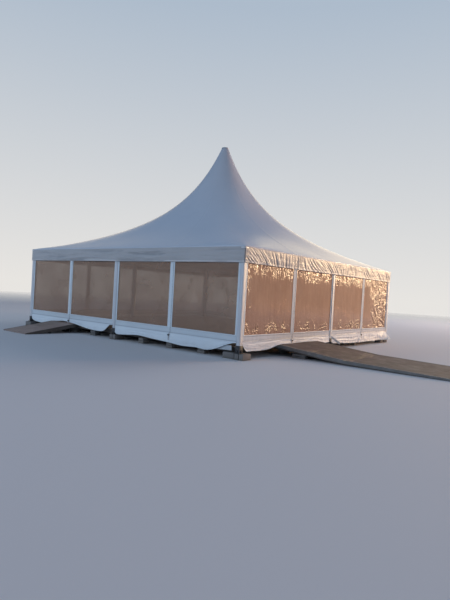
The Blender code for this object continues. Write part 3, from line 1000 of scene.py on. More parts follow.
valanceCut = {
    "pitch": 0.022,
    "finePitch": 0.013,       # on the side that hangs in sharp creases
    "hem": 0.042,
    "hemLift": 0.0025,
    "scallop": 0.014,         # how far the hem wanders up and down
    "cord": 0.0055,
    "thickness": 0.0012,
    "standOff": 0.012,        # from the beam behind it
    "cornerHold": 0.10,       # held flat over this length at the corners
    "sag": 0.12,              # how far the long folds wander from level
    "fine": 0.35,             # small creases, as a share of the steep ones
}
crumple = {                   # how each side's cloth hangs
    "front": {"longFold": 0.032, "steepFold": 0.003, "pitch": 2.2, "slant": 1.0, "flare": 0.020,
              "film": 0.0045, "crinkle": 0.15},
    "right": {"longFold": 0.003, "steepFold": 0.011, "pitch": 6.6, "slant": 9.0, "flare": 0.050,
              "film": 0.0120, "crinkle": 1.0},
    "back": {"longFold": 0.008, "steepFold": 0.008, "pitch": 2.6, "slant": 1.6, "flare": 0.030,
             "film": 0.0050, "crinkle": 0.35},
    "left": {"longFold": 0.010, "steepFold": 0.006, "pitch": 2.4, "slant": 1.2, "flare": 0.025,
             "film": 0.0050, "crinkle": 0.25},
}


def valanceBulge(side, x, z):
    # how far the cloth stands out, and how deep in a crease it is there
    hang = crumple[side]
    up = (z - valanceLow.z) / (valanceHigh.z - valanceLow.z)
    free = 1 - up**4
    seed = 3.0 + sideNames.index(side) * 5
    end = ease((halfPlan - abs(x)) / valanceCut["cornerHold"])
    sag = noise.noise(Vector((x * 0.5, 5.0, seed))) * valanceCut["sag"]
    long = 0.4 * noise.noise(Vector((x * 0.7, (z + sag) * 9, seed))) + fold(x * 0.4, (z + sag) * 7, seed + 1)
    long *= hang["longFold"]
    drop = valanceHigh.z - z
    slant = hang["slant"] * (0.6 + 0.6 * math.cos((x + 4.8) * 1.5))
    steep = fold(x * hang["pitch"] - drop * slant, drop * 1.1 + x * 0.3, seed) * hang["steepFold"]
    fine = fold(x * hang["pitch"] * 2.3 - drop * slant * 1.4, drop * 4, seed + 2)
    steep += fine * hang["steepFold"] * valanceCut["fine"]
    deep = ease(-(long + steep) / (hang["longFold"] + hang["steepFold"]) * 1.6) * free
    bulge = valanceCut["standOff"] + free * end * (long + steep)
    if z < valanceLow.z + valanceCut["hem"]:
        bulge += valanceCut["hemLift"]
    return max(bulge, -0.001), deep


def makeValance(number):
    side = sideNames[number]
    low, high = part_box("valance_" + side)
    reach = (high - low)[0 if number % 2 == 0 else 1] / 2
    face = -valanceLow.y - 0.002
    creased = crumple[side]["crinkle"]
    pitch = valanceCut["finePitch" if creased == 1 else "pitch"]
    columns = steps([-reach, reach], pitch)
    hemTop = low.z + valanceCut["hem"]
    rows = steps([low.z, low.z + 0.006, hemTop - 0.0015, hemTop + 0.0015, high.z], pitch)
    turn = sideTurn(number)

    def place(x, z):
        near = 1 - ease((z - low.z) / 0.12)
        drawn = valanceCut["scallop"] * creased * near * noise.noise(Vector((x * 5.5, 1.0, number)))
        return turn @ Vector((x, -face - valanceBulge(side, x, z)[0], z + drawn))

    marks = {
        "crinkle": lambda x, z: creased,
        # painted highlight: the hem band is painted lighter
        "shade": lambda x, z: 0.8 if z < hemTop - 0.001 else 0.0,
        # painted shade: the finish paints the creases darker by their depth
        "crease": lambda x, z: valanceBulge(side, x, z)[1],
    }
    piece = gridSheet(side + "Valance", columns, rows, place, "valanceCloth",
                      thickness=valanceCut["thickness"], marks=marks)
    rides(piece, "valance_cloth", "valance_" + side)
    path = [place(x, low.z + 0.004) for x in columns[::2]]
    cord = runCord(side + "ValanceCord", path, "valanceCloth", valanceCut["cord"], "valance_cloth")


for number in range(4):
    makeValance(number)
print("valances made")


# Curtains: white cloth with two windows, a zip strip and a loose kick below the sill

curtainCut = {
    "edgeBand": 0.065,
    "zipStrip": 0.18,
    "sill": 0.62,
    "head": 0.16,
    "weld": 0.026,
    "lift": 0.0016,
    "pitch": 0.034,
    "finePitch": 0.022,
    "seam": 0.458,            # where the kick is sewn on
    "kickProud": 0.004,
    "hemFold": 0.12,          # share of the kick that is turned up and sewn
    "hemCord": 0.0075,
    "flap": 0.028,
    "flapLift": 0.0035,
    "thickness": 0.0012,
    "ripple": 0.003,          # of the cloth beside and below the windows
    "wobble": 0.008,          # of the kick, then its level folds and its small creases
    "levelFold": 0.012,
    "fineCrush": 0.4,
    "endHold": 0.30,          # the kick is held flat over this length at its ends
    "seamShade": (0.55, 0.012),      # painted shade along the seam under the kick's top edge: how dark, and how far from the seam
    "dull": 0.20,
}
hemLine = {"height": curtainLow.z, "cornerRise": 0.28, "cornerWidth": 0.45, "overRamp": 0.025, "slope": 0.45,
           "highest": 0.447}
hungHems = {
    # (along the side, height): how the hems hang on the two sides that the photograph shows
    "frontLeft": (
        (-4.87, 0.41), (-4.84, 0.29), (-4.67, 0.224), (-4.18, 0.185), (-3.78, 0.213), (-3.50, 0.30),
        (-3.14, 0.331), (-2.75, 0.36), (-2.23, 0.328), (-1.76, 0.27), (-1.19, 0.211), (-0.66, 0.202),
        (-0.45, 0.248), (-0.31, 0.357), (-0.20, 0.447)),
    "frontRight": (
        (0.05, 0.252), (0.16, 0.194), (0.45, 0.202), (1.18, 0.253), (1.80, 0.218), (2.47, 0.184),
        (3.02, 0.148), (3.50, 0.163), (3.86, 0.143), (4.10, 0.18), (4.27, 0.239), (4.53, 0.344),
        (4.75, 0.41), (4.87, 0.43)),
    "rightLeft": (
        (-4.87, 0.43), (-4.82, 0.34), (-4.70, 0.215), (-4.48, 0.210), (-4.20, 0.197), (-3.74, 0.21),
        (-3.50, 0.25), (-3.20, 0.314), (-2.40, 0.318), (-0.92, 0.314), (-0.72, 0.25), (-0.05, 0.24)),
    "rightRight": (
        (0.05, 0.28), (0.12, 0.215), (0.22, 0.186), (0.60, 0.178), (1.40, 0.14), (2.44, 0.128),
        (3.50, 0.136), (4.60, 0.150), (4.87, 0.19)),
}
filmCut = {
    "pitch": 0.045,
    "finePitch": 0.0205,      # on the side whose film is crushed
    "lap": 0.03,              # cloth and film overlap on each edge of a window
    "thickness": 0.0008,
    "topCrush": 0.55,         # how far the crinkles reach from the top, the sill and the near end
    "footCrush": 0.45,
    "endCrush": 0.35,
    "drape": 0.12,            # weights of what makes its folds
    "small": 0.10,
    "crushed": 0.75,
    "strings": 0.5,
    "wide": 1.5,
    "farPane": (2.9, 4.2),    # along the side: where the farthest pane gets crushed all over
}
looseCorner = {"curtain": "rightRight", "out": 0.23, "width": 0.9}      # blown out, not tied down
windowTop = curtainHigh.z - curtainCut["head"]


def rampSpan(side):
    # where a ramp meets this side, as (middle, width) along the side
    if side not in ("front", "right"):
        return None
    low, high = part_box("ramp_" + side + "_deck")
    axis = 0 if side == "front" else 1
    return (low[axis] + high[axis]) / 2, high[axis] - low[axis]


def onCurve(keys, x):
    # the smooth curve through a few points
    x = min(max(x, keys[0][0]), keys[-1][0])
    spot = next(number for number in range(len(keys) - 1) if x <= keys[number + 1][0])
    span = keys[spot + 1][0] - keys[spot][0]
    share = (x - keys[spot][0]) / span
    leans = []
    for number in (spot, spot + 1):
        before, after = keys[max(number - 1, 0)], keys[min(number + 1, len(keys) - 1)]
        leans.append(span * (after[1] - before[1]) / (after[0] - before[0]))
    blend = ease(share)
    return (keys[spot][1] * (1 - blend) + keys[spot + 1][1] * blend
            + leans[0] * share * (1 - share) ** 2 - leans[1] * share**2 * (1 - share))


def hemHeight(name, x, low, high, ramp):
    if name in hungHems:
        return min(onCurve(hungHems[name], x), hemLine["highest"])
    near = min(x - low, high - x) / hemLine["cornerWidth"]
    height = hemLine["height"]
    if near < 1:
        height += hemLine["cornerRise"] * (1 - math.sqrt(max(0.0, 1 - (1 - near) ** 2)))
    if ramp:
        outside = abs(x - ramp[0]) - ramp[1] / 2
        lift = deckTop + hemLine["overRamp"] - hemLine["height"]
        height = max(height, hemLine["height"] + lift * ease(1 - outside / hemLine["slope"]))
    return min(height, hemLine["highest"])


def kickBulge(side, name, x, share, low, high):
    # how far the kick stands out; share is 0 at its seam and 1 at the hem
    hang = crumple[side]
    seed = 11.0 + sideNames.index(side) * 3
    wave = 0.5 + 0.8 * noise.noise(Vector((x * 0.9, 0.3, seed)))
    out = hang["flare"] * wave * share**1.4
    out += curtainCut["wobble"] * share * noise.noise(Vector((x * 2.5, share * 2.0, seed + 4)))
    crush = hang["steepFold"] * share * (0.45 + 1.4 * ease((x + 2.0) / 5.0))      # more toward the far end
    out += crush * fold(x * hang["pitch"] * 0.7 + share * 0.8, share * 0.9, seed + 8)
    out += curtainCut["fineCrush"] * crush * fold(x * 7.5 + share, share * 2.6, seed + 9)
    level = fold(x * 0.8, share * 3.0, seed + 2) * ease(share * 3) * ease((1.1 - share) * 3)
    out += curtainCut["levelFold"] * level
    out *= ease(min(x - low, high - x) / curtainCut["endHold"])
    if name == looseCorner["curtain"]:
        loose = ease(1 - (high - x) / looseCorner["width"])
        out += loose * looseCorner["out"] * share**1.2
        out += loose * 0.018 * share * fold(x * 3 + share, share * 2, seed + 6)
    return out


def makeCurtain(number, which):
    side = sideNames[number]
    name = side + which.capitalize()
    sign = -1 if which == "left" else 1
    low, high = (curtainLow.x, curtainHigh.x) if sign < 0 else (-curtainHigh.x, -curtainLow.x)
    ramp = rampSpan(side) if sign < 0 else None
    middle = (low + high) / 2
    cut = curtainCut
    panes = ((low + cut["edgeBand"], middle - cut["zipStrip"] / 2),
             (middle + cut["zipStrip"] / 2, high - cut["edgeBand"]))
    weld, seam = cut["weld"], cut["seam"]
    cuts = [low, high, middle - cut["flap"], middle + cut["flap"],
            middle - cut["flap"] - 0.002, middle + cut["flap"] + 0.002]
    for start, stop in panes:
        cuts += [start, stop, start - weld, start - weld - 0.0015, stop + weld, stop + weld + 0.0015]
    columns = steps(cuts, cut["finePitch" if side == "right" else "pitch"])
    turnUp = 1 - cut["hemFold"]
    rows = [("kick", share) for share in steps([0.0, 0.05, turnUp - 0.01, turnUp, 1.0], 0.07)[::-1]]
    levels = [seam + 0.004, seam + 0.018, cut["sill"] - weld - 0.0015, cut["sill"] - weld, cut["sill"]]
    rows += [("level", z) for z in steps(levels, 0.04)]
    paneStart = len(rows) - 1
    headCuts = [cut["sill"], windowTop, windowTop + weld, windowTop + weld + 0.0015, curtainHigh.z]
    rows += [("level", z) for z in steps(headCuts, 0.05)[1:]]
    seed = 20.0 + number * 2 + (sign > 0)
    turn = sideTurn(number)

    def inPane(x):
        return any(start - tiny < x < stop + tiny for start, stop in panes)

    def heightOf(x, row):
        kind, value = row
        if kind == "level":
            return value
        return seam - value * (seam - hemHeight(name, x, low, high, ramp))

    def place(x, row):
        kind, value = row
        z = heightOf(x, row)
        if kind == "kick":
            out = cut["kickProud"] + kickBulge(side, name, x, value, low, high)
            if value > turnUp - 0.005:
                out += cut["lift"]
        else:
            out = cut["ripple"] * noise.noise(Vector((x * 9, z * 1.4, seed)))
            out += cut["ripple"] * fold(x * 1.1, z * 7, seed + 1) * ease((cut["sill"] - z) * 12)
        slack = weld + tiny
        if cut["sill"] - slack < z < windowTop + slack and any(a - slack < x < b + slack for a, b in panes):
            out += cut["lift"]
        if abs(x - middle) < cut["flap"] + tiny:
            out += cut["flapLift"]
        return turn @ Vector((x, -curtainFace + 0.001 - out, z))

    def keep(column, row):
        x = (columns[column] + columns[column + 1]) / 2
        return not (inPane(x) and rows[row][0] == "level" and row >= paneStart
                    and rows[row + 1][1] < windowTop + tiny)

    def shade(x, row):
        # painted shade along the seam under the kick's top edge, and the cloth above it is duller than the
        # kick
        z = heightOf(x, row)
        dark, width = cut["seamShade"]
        seamShadow = dark * math.exp(-((z - seam) / width) ** 2)
        dull = cut["dull"] if row[0] == "level" and z < cut["sill"] else 0.0
        return seamShadow + dull

    marks = {"shade": shade, "crinkle": lambda x, row: crumple[side]["crinkle"] if row[0] == "kick" else 0.0}
    piece = gridSheet(side + "Curtain" + which.capitalize(), columns, rows, place, "curtainCloth", keep,
                      cut["thickness"], marks=marks)
    rides(piece, "curtain_cloth", side + "_curtain_" + which)
    path = [place(x, ("kick", 1.0)) for x in columns]
    cord = runCord(piece.name + "Hem", path, "curtainCloth", cut["hemCord"], "curtain_cloth")
    zipFoot = max(hemHeight(name, middle, low, high, ramp) + 0.06, 0.33)
    return turn @ Vector((middle + cut["flap"] + 0.006, -curtainFace - 0.006, zipFoot)), panes


def makeFilm(number, which, panes):
    side = sideNames[number]
    low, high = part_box(side + "_window_" + which)
    turn = sideTurn(number)
    start, stop = panes[0][0] - filmCut["lap"], panes[1][1] + filmCut["lap"]
    cuts = [start, stop] + [edge for pane in panes for edge in pane]
    pitch = filmCut["finePitch" if side == "right" else "pitch"]
    columns = steps(cuts, pitch)
    sill = curtainCut["sill"]
    rows = steps([low.z, sill, windowTop, high.z], pitch)
    depth, most = crumple[side]["film"], crumple[side]["crinkle"]
    seed = 40.0 + number * 2 + (which == "right")
    face = -filmLow.y - 0.001

    def farness(x):
        return climb(x, *filmCut["farPane"]) if side == "right" else 0.0

    def crinkle(x, z):
        # the film is crushed along its edges and smooth in the middle
        top = 1 - ease((windowTop - z) / filmCut["topCrush"])
        foot = 1 - ease((z - sill) / filmCut["footCrush"])
        ends = 1 - ease((x - start) / filmCut["endCrush"]) if side == "right" and which == "left" else 0.0
        far = farness(x)
        patch = 0.20 + 2.4 * max(0.0, noise.noise(Vector((x * 3.6, z * 3.0, seed + 5))) + 0.16)
        return most * min(1.0, max(top, 1.2 * foot, ends, far) * patch + 0.25 * far)

    def place(x, z):
        inside = max(min(x - a, b - x) for a, b in panes)
        inside = min(inside, z - sill, windowTop - z)
        free = ease(inside / 0.05)
        drape = fold(x * 1.5 + 0.2 * z, z * 0.35, seed)
        small = noise.noise(Vector((x * 5.5, z * 2.0, seed + 1)))
        crushed = fold(x * 12.0 + 0.6 * z, z * 10.0, seed + 3) * crinkle(x, z)
        strings = most * fold(x * 15.0, z * 3.0, seed + 9) * (1 - ease((windowTop - z) / 0.7))
        wide = fold(x * 3.0 + 2.2 * z, z * 2.4 - x * 1.2, seed + 7) * farness(x)
        folds = filmCut["drape"] * drape + filmCut["small"] * small + filmCut["crushed"] * crushed
        folds += filmCut["strings"] * strings + filmCut["wide"] * wide
        return turn @ Vector((x, -face - free * depth * folds, z))

    # the right side gets the film copy painted as sunlit
    finish = "sunlitFilm" if side == "right" else "clearFilm"
    piece = gridSheet(side + "Film" + which.capitalize(), columns, rows, place, finish,
                      thickness=filmCut["thickness"], marks={"crinkle": crinkle})
    rides(piece, "window_film", side + "_window_" + which)


zipRow = {"Length": 2.1, "Pitch": 0.012, "Tooth": (0.009, 0.004, 0.006), "Stagger": 0.004}


def makeZips(feet):
    mesh = grow(zipTree, pointMesh(feet), "strap", zipRow)
    piece = newPiece("zipTeeth", mesh, "strap")
    rides(piece, "curtain_cloth")

    slider = bmesh.new()
    addBox(slider, (-0.012, -0.010, -0.020), (0.012, 0.0, 0.015), 0.003)
    addBox(slider, (-0.006, -0.013, -0.060), (0.006, -0.009, -0.012), 0.0015)      # its pull tab
    spread("zipSliders", slider, feet, "zinc", "curtain_cloth")


zipFeet = []
for number in range(4):
    for which in ("left", "right"):
        foot, panes = makeCurtain(number, which)
        makeFilm(number, which, panes)
        zipFeet.append((foot, (0, 0, math.radians(90 * number))))
makeZips(zipFeet)
print("curtains, films and zips made")


# Loose flaps that hang behind the kicks

looseFlaps = {
    # from, to: the ends of the middle line, as (along the side, out, height)
    # each flap's shade paints it greyer: painted shade, as it hangs behind a kick
    "cornerFlap": {"side": 0, "from": (4.08, 4.936, 0.255), "to": (4.70, 4.936, 0.272), "width": 0.13,
                   "twist": 0.15, "shade": 0.35},
    "jointFlap": {"side": 1, "from": (0.02, 4.995, 0.405), "to": (0.53, 5.075, 0.165), "width": 0.075,
                  "twist": 0.9, "shade": 0.30},
}


def makeFlap(name):
    flap = looseFlaps[name]
    start, end = Vector(flap["from"]), Vector(flap["to"])
    length = (end - start).length
    way = (end - start).normalized()
    across = way.cross(Vector((0, 1, 0))).normalized()
    turn = sideTurn(flap["side"])

    def place(along, wide):
        spot = start + way * along
        lean = flap["twist"] * math.sin(2.4 * along / length + 0.3)
        spot += across * wide * math.cos(lean) + Vector((0, 1, 0)) * wide * math.sin(lean)
        spot.y += 0.006 * noise.noise(Vector((along * 6, wide * 9, 70)))
        return turn @ Vector((spot.x, -spot.y, spot.z))

    half = flap["width"] / 2
    piece = gridSheet(name, steps([0, length], 0.02), steps([-half, half], 0.016), place, "curtainCloth",
                      thickness=curtainCut["thickness"],
                      marks={"shade": lambda along, wide: flap["shade"]})
    rides(piece, "curtain_cloth")


for name in looseFlaps:
    makeFlap(name)
print("loose flaps made")


# Hold-down straps beside the zips

holdStrap = {
    "width": 0.040,
    "thickness": 0.003,
    "top": 0.44,
    "aside": (-0.034, -0.006, 0),          # from the zip's foot
    "run": [(0.0, 0.0), (0.004, -0.03), (0.016, -0.08), (0.018, -0.16), (0.006, -0.22), (-0.02, -0.26)],
    "buckle": (0.060, 0.045),
    "buckleBar": 0.010,
    "buckleDrop": 0.05,
}


def makeStraps():
    strap = bmesh.new()
    wide, thin = holdStrap["width"] / 2, holdStrap["thickness"]
    rings = []
    for out, z in holdStrap["run"]:
        corners = ((-wide, -out), (wide, -out), (wide, -out - thin), (-wide, -out - thin))
        rings.append([strap.verts.new((x, y, z)) for x, y in corners])
    joinRings(strap, rings)
    bmesh.ops.recalc_face_normals(strap, faces=strap.faces)
    places, lower = [], []
    for foot, turn in zipFeet:
        spot = foot + Matrix.Rotation(turn[2], 3, "Z") @ Vector(holdStrap["aside"])
        places.append((Vector((spot.x, spot.y, holdStrap["top"])), turn))
        lower.append((Vector((spot.x, spot.y, holdStrap["top"] - holdStrap["buckleDrop"])), turn))
    spread("holdStraps", strap, places, "valanceCloth", "curtain_cloth")

    buckle = bmesh.new()
    x, z = (size / 2 for size in holdStrap["buckle"])
    bar = holdStrap["buckleBar"]
    for low, high in (((-x, z - bar), (x, z)), ((-x, -z), (x, bar - z)), ((-x, -z), (bar - x, z)),
                      ((x - bar, -z), (x, z))):
        addBox(buckle, (low[0], -0.028, low[1]), (high[0], -0.016, high[1]), 0.003)
    addBox(buckle, (-x, -0.033, -bar / 2), (x, -0.026, bar / 2), 0.002)
    spread("strapBuckles", buckle, lower, "strap", "curtain_cloth")


makeStraps()
print("straps made")


# Frame: drawn aluminium posts and beams with keder grooves

drawnFrame = {
    "post": 0.12,
    "midWidth": 0.10,
    "corner": 0.006,
    "slots": (-0.30, 0.30),
    "foot": 0.1,              # the drawn profile starts this far up its steel base
    "plate": 0.04,            # how far the base plate stands out
    "plateThick": 0.012,
    "sleeve": 0.20,
    "rib": 0.09,
    "boltOut": 0.02,
    "boltTurns": {"corner": (0.3, -0.3, -0.3, 0.3), "mid": (-0.4, -0.4, 0.4, 0.4)},
}


def addFoot(shape, width, depth, low):
    # steel base: plate, sleeve and four ribs
    lip = drawnFrame["plate"] - 0.001
    x, y = width / 2, depth / 2
    addBox(shape, (-x - lip, -y - lip, low), (x + lip, y + lip, low + drawnFrame["plateThick"]), 0.002)
    sleeve = low + drawnFrame["sleeve"]
    addBox(shape, (-x - 0.006, -y - 0.006, low + 0.010), (x + 0.006, y + 0.006, sleeve), 0.002)
    for sign in (-1, 1):
        ribs = ((sign * (x + 0.018), 0, 0.014, 0.004), (0, sign * (y + 0.018), 0.004, 0.014))
        for ribX, ribY, halfX, halfY in ribs:
            addBox(shape, (ribX - halfX, ribY - halfY, low + 0.010),
                   (ribX + halfX, ribY + halfY, low + drawnFrame["rib"]), 0.001)


def hexBolt(radius, head):
    shape = bmesh.new()
    profile = ((0, 0), (1.7, 0), (1.7, 0.25), (1.15, 0.25), (1.15, 1), (0.9, 1.1), (0, 1.1))
    addLathe(shape, [(radius * wide, head * high) for wide, high in profile], 6)
    return shape


def makePost(name, node, kind, width, place, lug=None):
    # a drawn post on its steel base; returns where the base's bolts stand
    low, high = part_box(node)
    depth, start = drawnFrame["post"], low.z + drawnFrame["foot"]
    shape = bmesh.new()
    outline = slottedOutline(width, depth, drawnFrame["corner"], drawnFrame["slots"])
    addProfile(shape, outline, place @ Matrix.Translation((0, 0, start)), high.z - start)
    if lug:
        plate = bmesh.new()
        addBox(plate, (0.07, -0.008, beamLow.z - 0.11), (0.19, 0.008, beamLow.z - 0.012), 0.003)
        stamp(shape, plate, place @ lug)
        plate.free()
    addPiece(name, shape, "aluminium", "frame_aluminium", node, smooth=30)
    foot = bmesh.new()
    addFoot(foot, width, depth, low.z)
    foot.transform(place)
    addPiece(name + "Foot", foot, "zinc", "frame_aluminium", smooth=30)
    x, y = width / 2 + drawnFrame["boltOut"], depth / 2 + drawnFrame["boltOut"]
    z = low.z + drawnFrame["plateThick"]
    spots = [place @ Vector((a * x, b * y, z)) for a in (-1, 1) for b in (-1, 1)]
    return [(spot, (0, 0, turn)) for spot, turn in zip(spots, drawnFrame["boltTurns"][kind])]


def makePosts():
    inside = (postInner + wallFace) / 2
    bolts = []
    for number, corner in enumerate(("front_right", "back_right", "back_left", "front_left")):
        name = "cornerPost" + "".join(word.capitalize() for word in corner.split("_"))
        place = Matrix.Translation(sideTurn(number) @ Vector((inside, -inside, 0)))
        lug = sideTurn(number) @ Matrix.Rotation(math.radians(135), 4, "Z")
        bolts += makePost(name, "corner_post_" + corner, "corner", drawnFrame["post"], place, lug)
    for number, side in enumerate(sideNames):
        place = sideTurn(number) @ Matrix.Translation((0, -inside, 0))
        bolts += makePost(side + "MidPost", "mid_post_" + side, "mid", drawnFrame["midWidth"], place)
    spread("baseBolts", hexBolt(0.009, 0.012), bolts, "zinc", "frame_aluminium", smallest=0.9, seed=4)


def makeBeams():
    low, high = beamLow, beamHigh
    lying = Matrix.Translation((low.x, (low.y + high.y) / 2, (low.z + high.z) / 2))
    lying = lying @ Matrix.Rotation(math.radians(90), 4, "Y")
    outline = slottedOutline(high.z - low.z, high.y - low.y, drawnFrame["corner"], drawnFrame["slots"])
    for number, side in enumerate(sideNames):
        shape = bmesh.new()
        addProfile(shape, outline, sideTurn(number) @ lying, high.x - low.x)
        addPiece(side + "Beam", shape, "aluminium", "frame_aluminium", "eave_beam_" + side, smooth=30)


# Corner fittings where roof, valances and post head meet

cornerFitting = {"reach": 0.13, "drop": 0.030, "sheet": 0.004, "out": 0.013, "below": 0.030}


def makeCornerFittings():
    reach, drop, sheet = cornerFitting["reach"], cornerFitting["drop"], cornerFitting["sheet"]
    out, top = halfPlan + cornerFitting["out"], eaveTop - cornerFitting["below"]
    for number in range(4):
        shape = bmesh.new()
        addBox(shape, (out - reach, -out, top - drop), (out, -out + sheet, top), 0.0015)
        addBox(shape, (out - sheet, -out, top - drop), (out, -out + reach, top), 0.0015)
        shape.transform(sideTurn(number))
        addPiece("cornerFitting" + str(number + 1), shape, "aluminium", "frame_aluminium")


makePosts()
makeBeams()
makeCornerFittings()
print("frame made")


# King pole and crossing cables

kingPole = {"tube": 0.045, "foot": 0.075, "head": 0.128, "joint": 2.20, "bolts": 8, "boltRing": 0.062}
turnbuckle = {
    "below": 0.06,            # the cables' upper ends hang this far under the beams
    "middle": 0.006,          # and cross this far above the lower cable's underside
    "start": 0.02,
    "profile": [
        (0, 0), (0.012, 0), (0.012, 0.012), (0.008, 0.016), (0.008, 0.07), (0.016, 0.072),
        (0.018, 0.08), (0.018, 0.26), (0.016, 0.268), (0.009, 0.27), (0.009, 0.34), (0.014, 0.342),
        (0.012, 0.40), (0, 0.402),
    ],
}


def makeKingPole():
    low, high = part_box("king_pole")
    tube, foot, head, joint = (kingPole[key] for key in ("tube", "foot", "head", "joint"))
    base = [
        (0, 0), (foot - 0.003, 0), (foot, 0.003), (foot, 0.017), (foot - 0.003, 0.020),
        (tube + 0.012, 0.020), (tube + 0.008, 0.090), (tube, 0.095), (tube, joint),
        (tube + 0.006, joint + 0.005), (tube + 0.006, joint + 0.065), (tube, joint + 0.07),
    ]
    crown = [
        (tube, 0.20), (tube + 0.010, 0.19), (tube + 0.014, 0.05), (head - 0.006, 0.020),
        (head, 0.016), (head, 0.002), (0, 0.001),
    ]
    profile = [(radius, low.z + up) for radius, up in base]
    profile += [(radius, high.z - down) for radius, down in crown]
    shape = bmesh.new()
    addLathe(shape, profile, 40)
    for step in range(4):
        rib = bmesh.new()
        addBox(rib, (tube - 0.002, -0.004, low.z + 0.018), (foot - 0.006, 0.004, low.z + 0.075), 0.001)
        stamp(shape, rib, Matrix.Rotation(math.radians(90 * step + 45), 4, "Z"))
        rib.free()
    addPiece("kingPole", shape, "aluminium", "frame_aluminium", "king_pole")
    angles = [2 * math.pi * (step + 0.5) / kingPole["bolts"] for step in range(kingPole["bolts"])]
    bolts = [(aroundZ(kingPole["boltRing"], angle, low.z + 0.020), (0, 0, angle)) for angle in angles]
    spread("mastBolts", hexBolt(0.006, 0.008), bolts, "zinc", "frame_aluminium")


def makeTurnbuckles():
    for name in ("crossing_cable_lower", "crossing_cable_upper"):
        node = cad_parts[name]
        node.data.materials.clear()
        node.data.materials.append(finishes["strand"])
    shape = bmesh.new()
    low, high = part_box("crossing_cable_lower")
    for number in range(4):
        angle = math.radians(45 + 90 * number)
        start = aroundZ(high.x * math.sqrt(2), angle, beamLow.z - turnbuckle["below"])
        way = (Vector((0, 0, low.z + turnbuckle["middle"])) - start).normalized()
        along = way.to_track_quat("Z", "Y").to_matrix().to_4x4()
        place = Matrix.Translation(start + way * turnbuckle["start"]) @ along
        addLathe(shape, turnbuckle["profile"], 16, place)
    addPiece("cableTurnbuckles", shape, "zinc", "steel_wire")


makeKingPole()
makeTurnbuckles()
print("king pole and cables made")


# Floor

floorBoards = {
    "columns": 4,
    "rows": 10,
    "board": 0.021,
    "joint": 0.004,
    "joists": 13,
    "joistHalf": 0.022,
    "joistInset": 0.03,       # the outermost joists' middles, from the floor's edge
    "rim": 0.020,             # half the width of the boards along the joists' ends
}


def makeFloor():
    board, half = floorBoards["board"], floorBoards["joistHalf"]
    for number, name in enumerate(("left", "right")):
        low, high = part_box("floor_deck_" + name)
        mesh = grow(boardTree, bpy.data.meshes.new("bed"), "floorPly", {
            "Length": high.x - low.x, "Width": high.y - low.y, "Thickness": board,
            "Joint": floorBoards["joint"], "Columns": floorBoards["columns"],
            "Rows": floorBoards["rows"], "Seed": 5 + number,
        })
        middle = (low + high) / 2
        mesh.transform(Matrix.Translation((middle.x, middle.y, high.z - board / 2 - 0.0006)))
        boards = newPiece("floorBoards" + name.capitalize(), mesh, "floorPly")
        breakEdges(boards, 0.0015)
        rides(boards, "floor_board", "floor_deck_" + name)

        joists = bmesh.new()
        under = high.z - board - 0.001
        inset, last = floorBoards["joistInset"], floorBoards["joists"] - 1
        for step in range(last + 1):
            y = low.y + inset + (high.y - low.y - 2 * inset) * step / last
            addBox(joists, (low.x, y - half, low.z), (high.x, y + half, under), 0.002)
        rim = floorBoards["rim"]
        for x in (low.x + half, high.x - half):
            addBox(joists, (x - rim, low.y + 0.004, low.z), (x + rim, high.y - 0.004, under - 0.002), 0.002)
        addPiece("floorJoists" + name.capitalize(), joists, "bearerTimber", "bearer_timber")


# Bearers on blocks

blockStack = {
    "size": 0.25,
    "pitch": 1.20,
    "top": 0.160,
    "beam": 0.10,
    "kerb": (0.135, 0.36),            # width and length of the blocks on edge under the posts
    "kerbSpots": (0.068, 0.222),      # their places beside the post's middle
    "midShift": -0.145,               # the same blocks under a mid post stand further to its left
    "wide": (0.36, 0.24),             # the wide block beside them
    "wideSpot": (-0.215, -0.03),
    "inset": 0.004,                   # how far the blocks stay behind the base plates' outer line
    "tuckedIn": -0.110,               # moved in at the back corners, where they'd leave the part's box
}


def padStack(width, depth, courses, gap):
    # concrete pads on top of each other, each turned a little, with shims between them
    shape = bmesh.new()
    tall = (blockStack["top"] - gap * (courses - 1)) / courses
    for course in range(courses):
        low = course * (tall + gap)
        x, y = width / 2 - 0.006 - 0.004 * (course % 2), depth / 2 - 0.006 - 0.004 * (course % 2)
        addBox(shape, (-x, -y, low), (x, y, low + tall), 0.007, (0, 0, 0.03 * (-1) ** course))
    for course in range(courses - 1):
        low = (course + 1) * tall + course * gap
        for side in (-1, 1):
            addBox(shape, (side * width * 0.28 - 0.03, -depth * 0.35, low - 0.002),
                   (side * width * 0.28 + 0.03, depth * 0.35, low + gap + 0.002))
    return shape


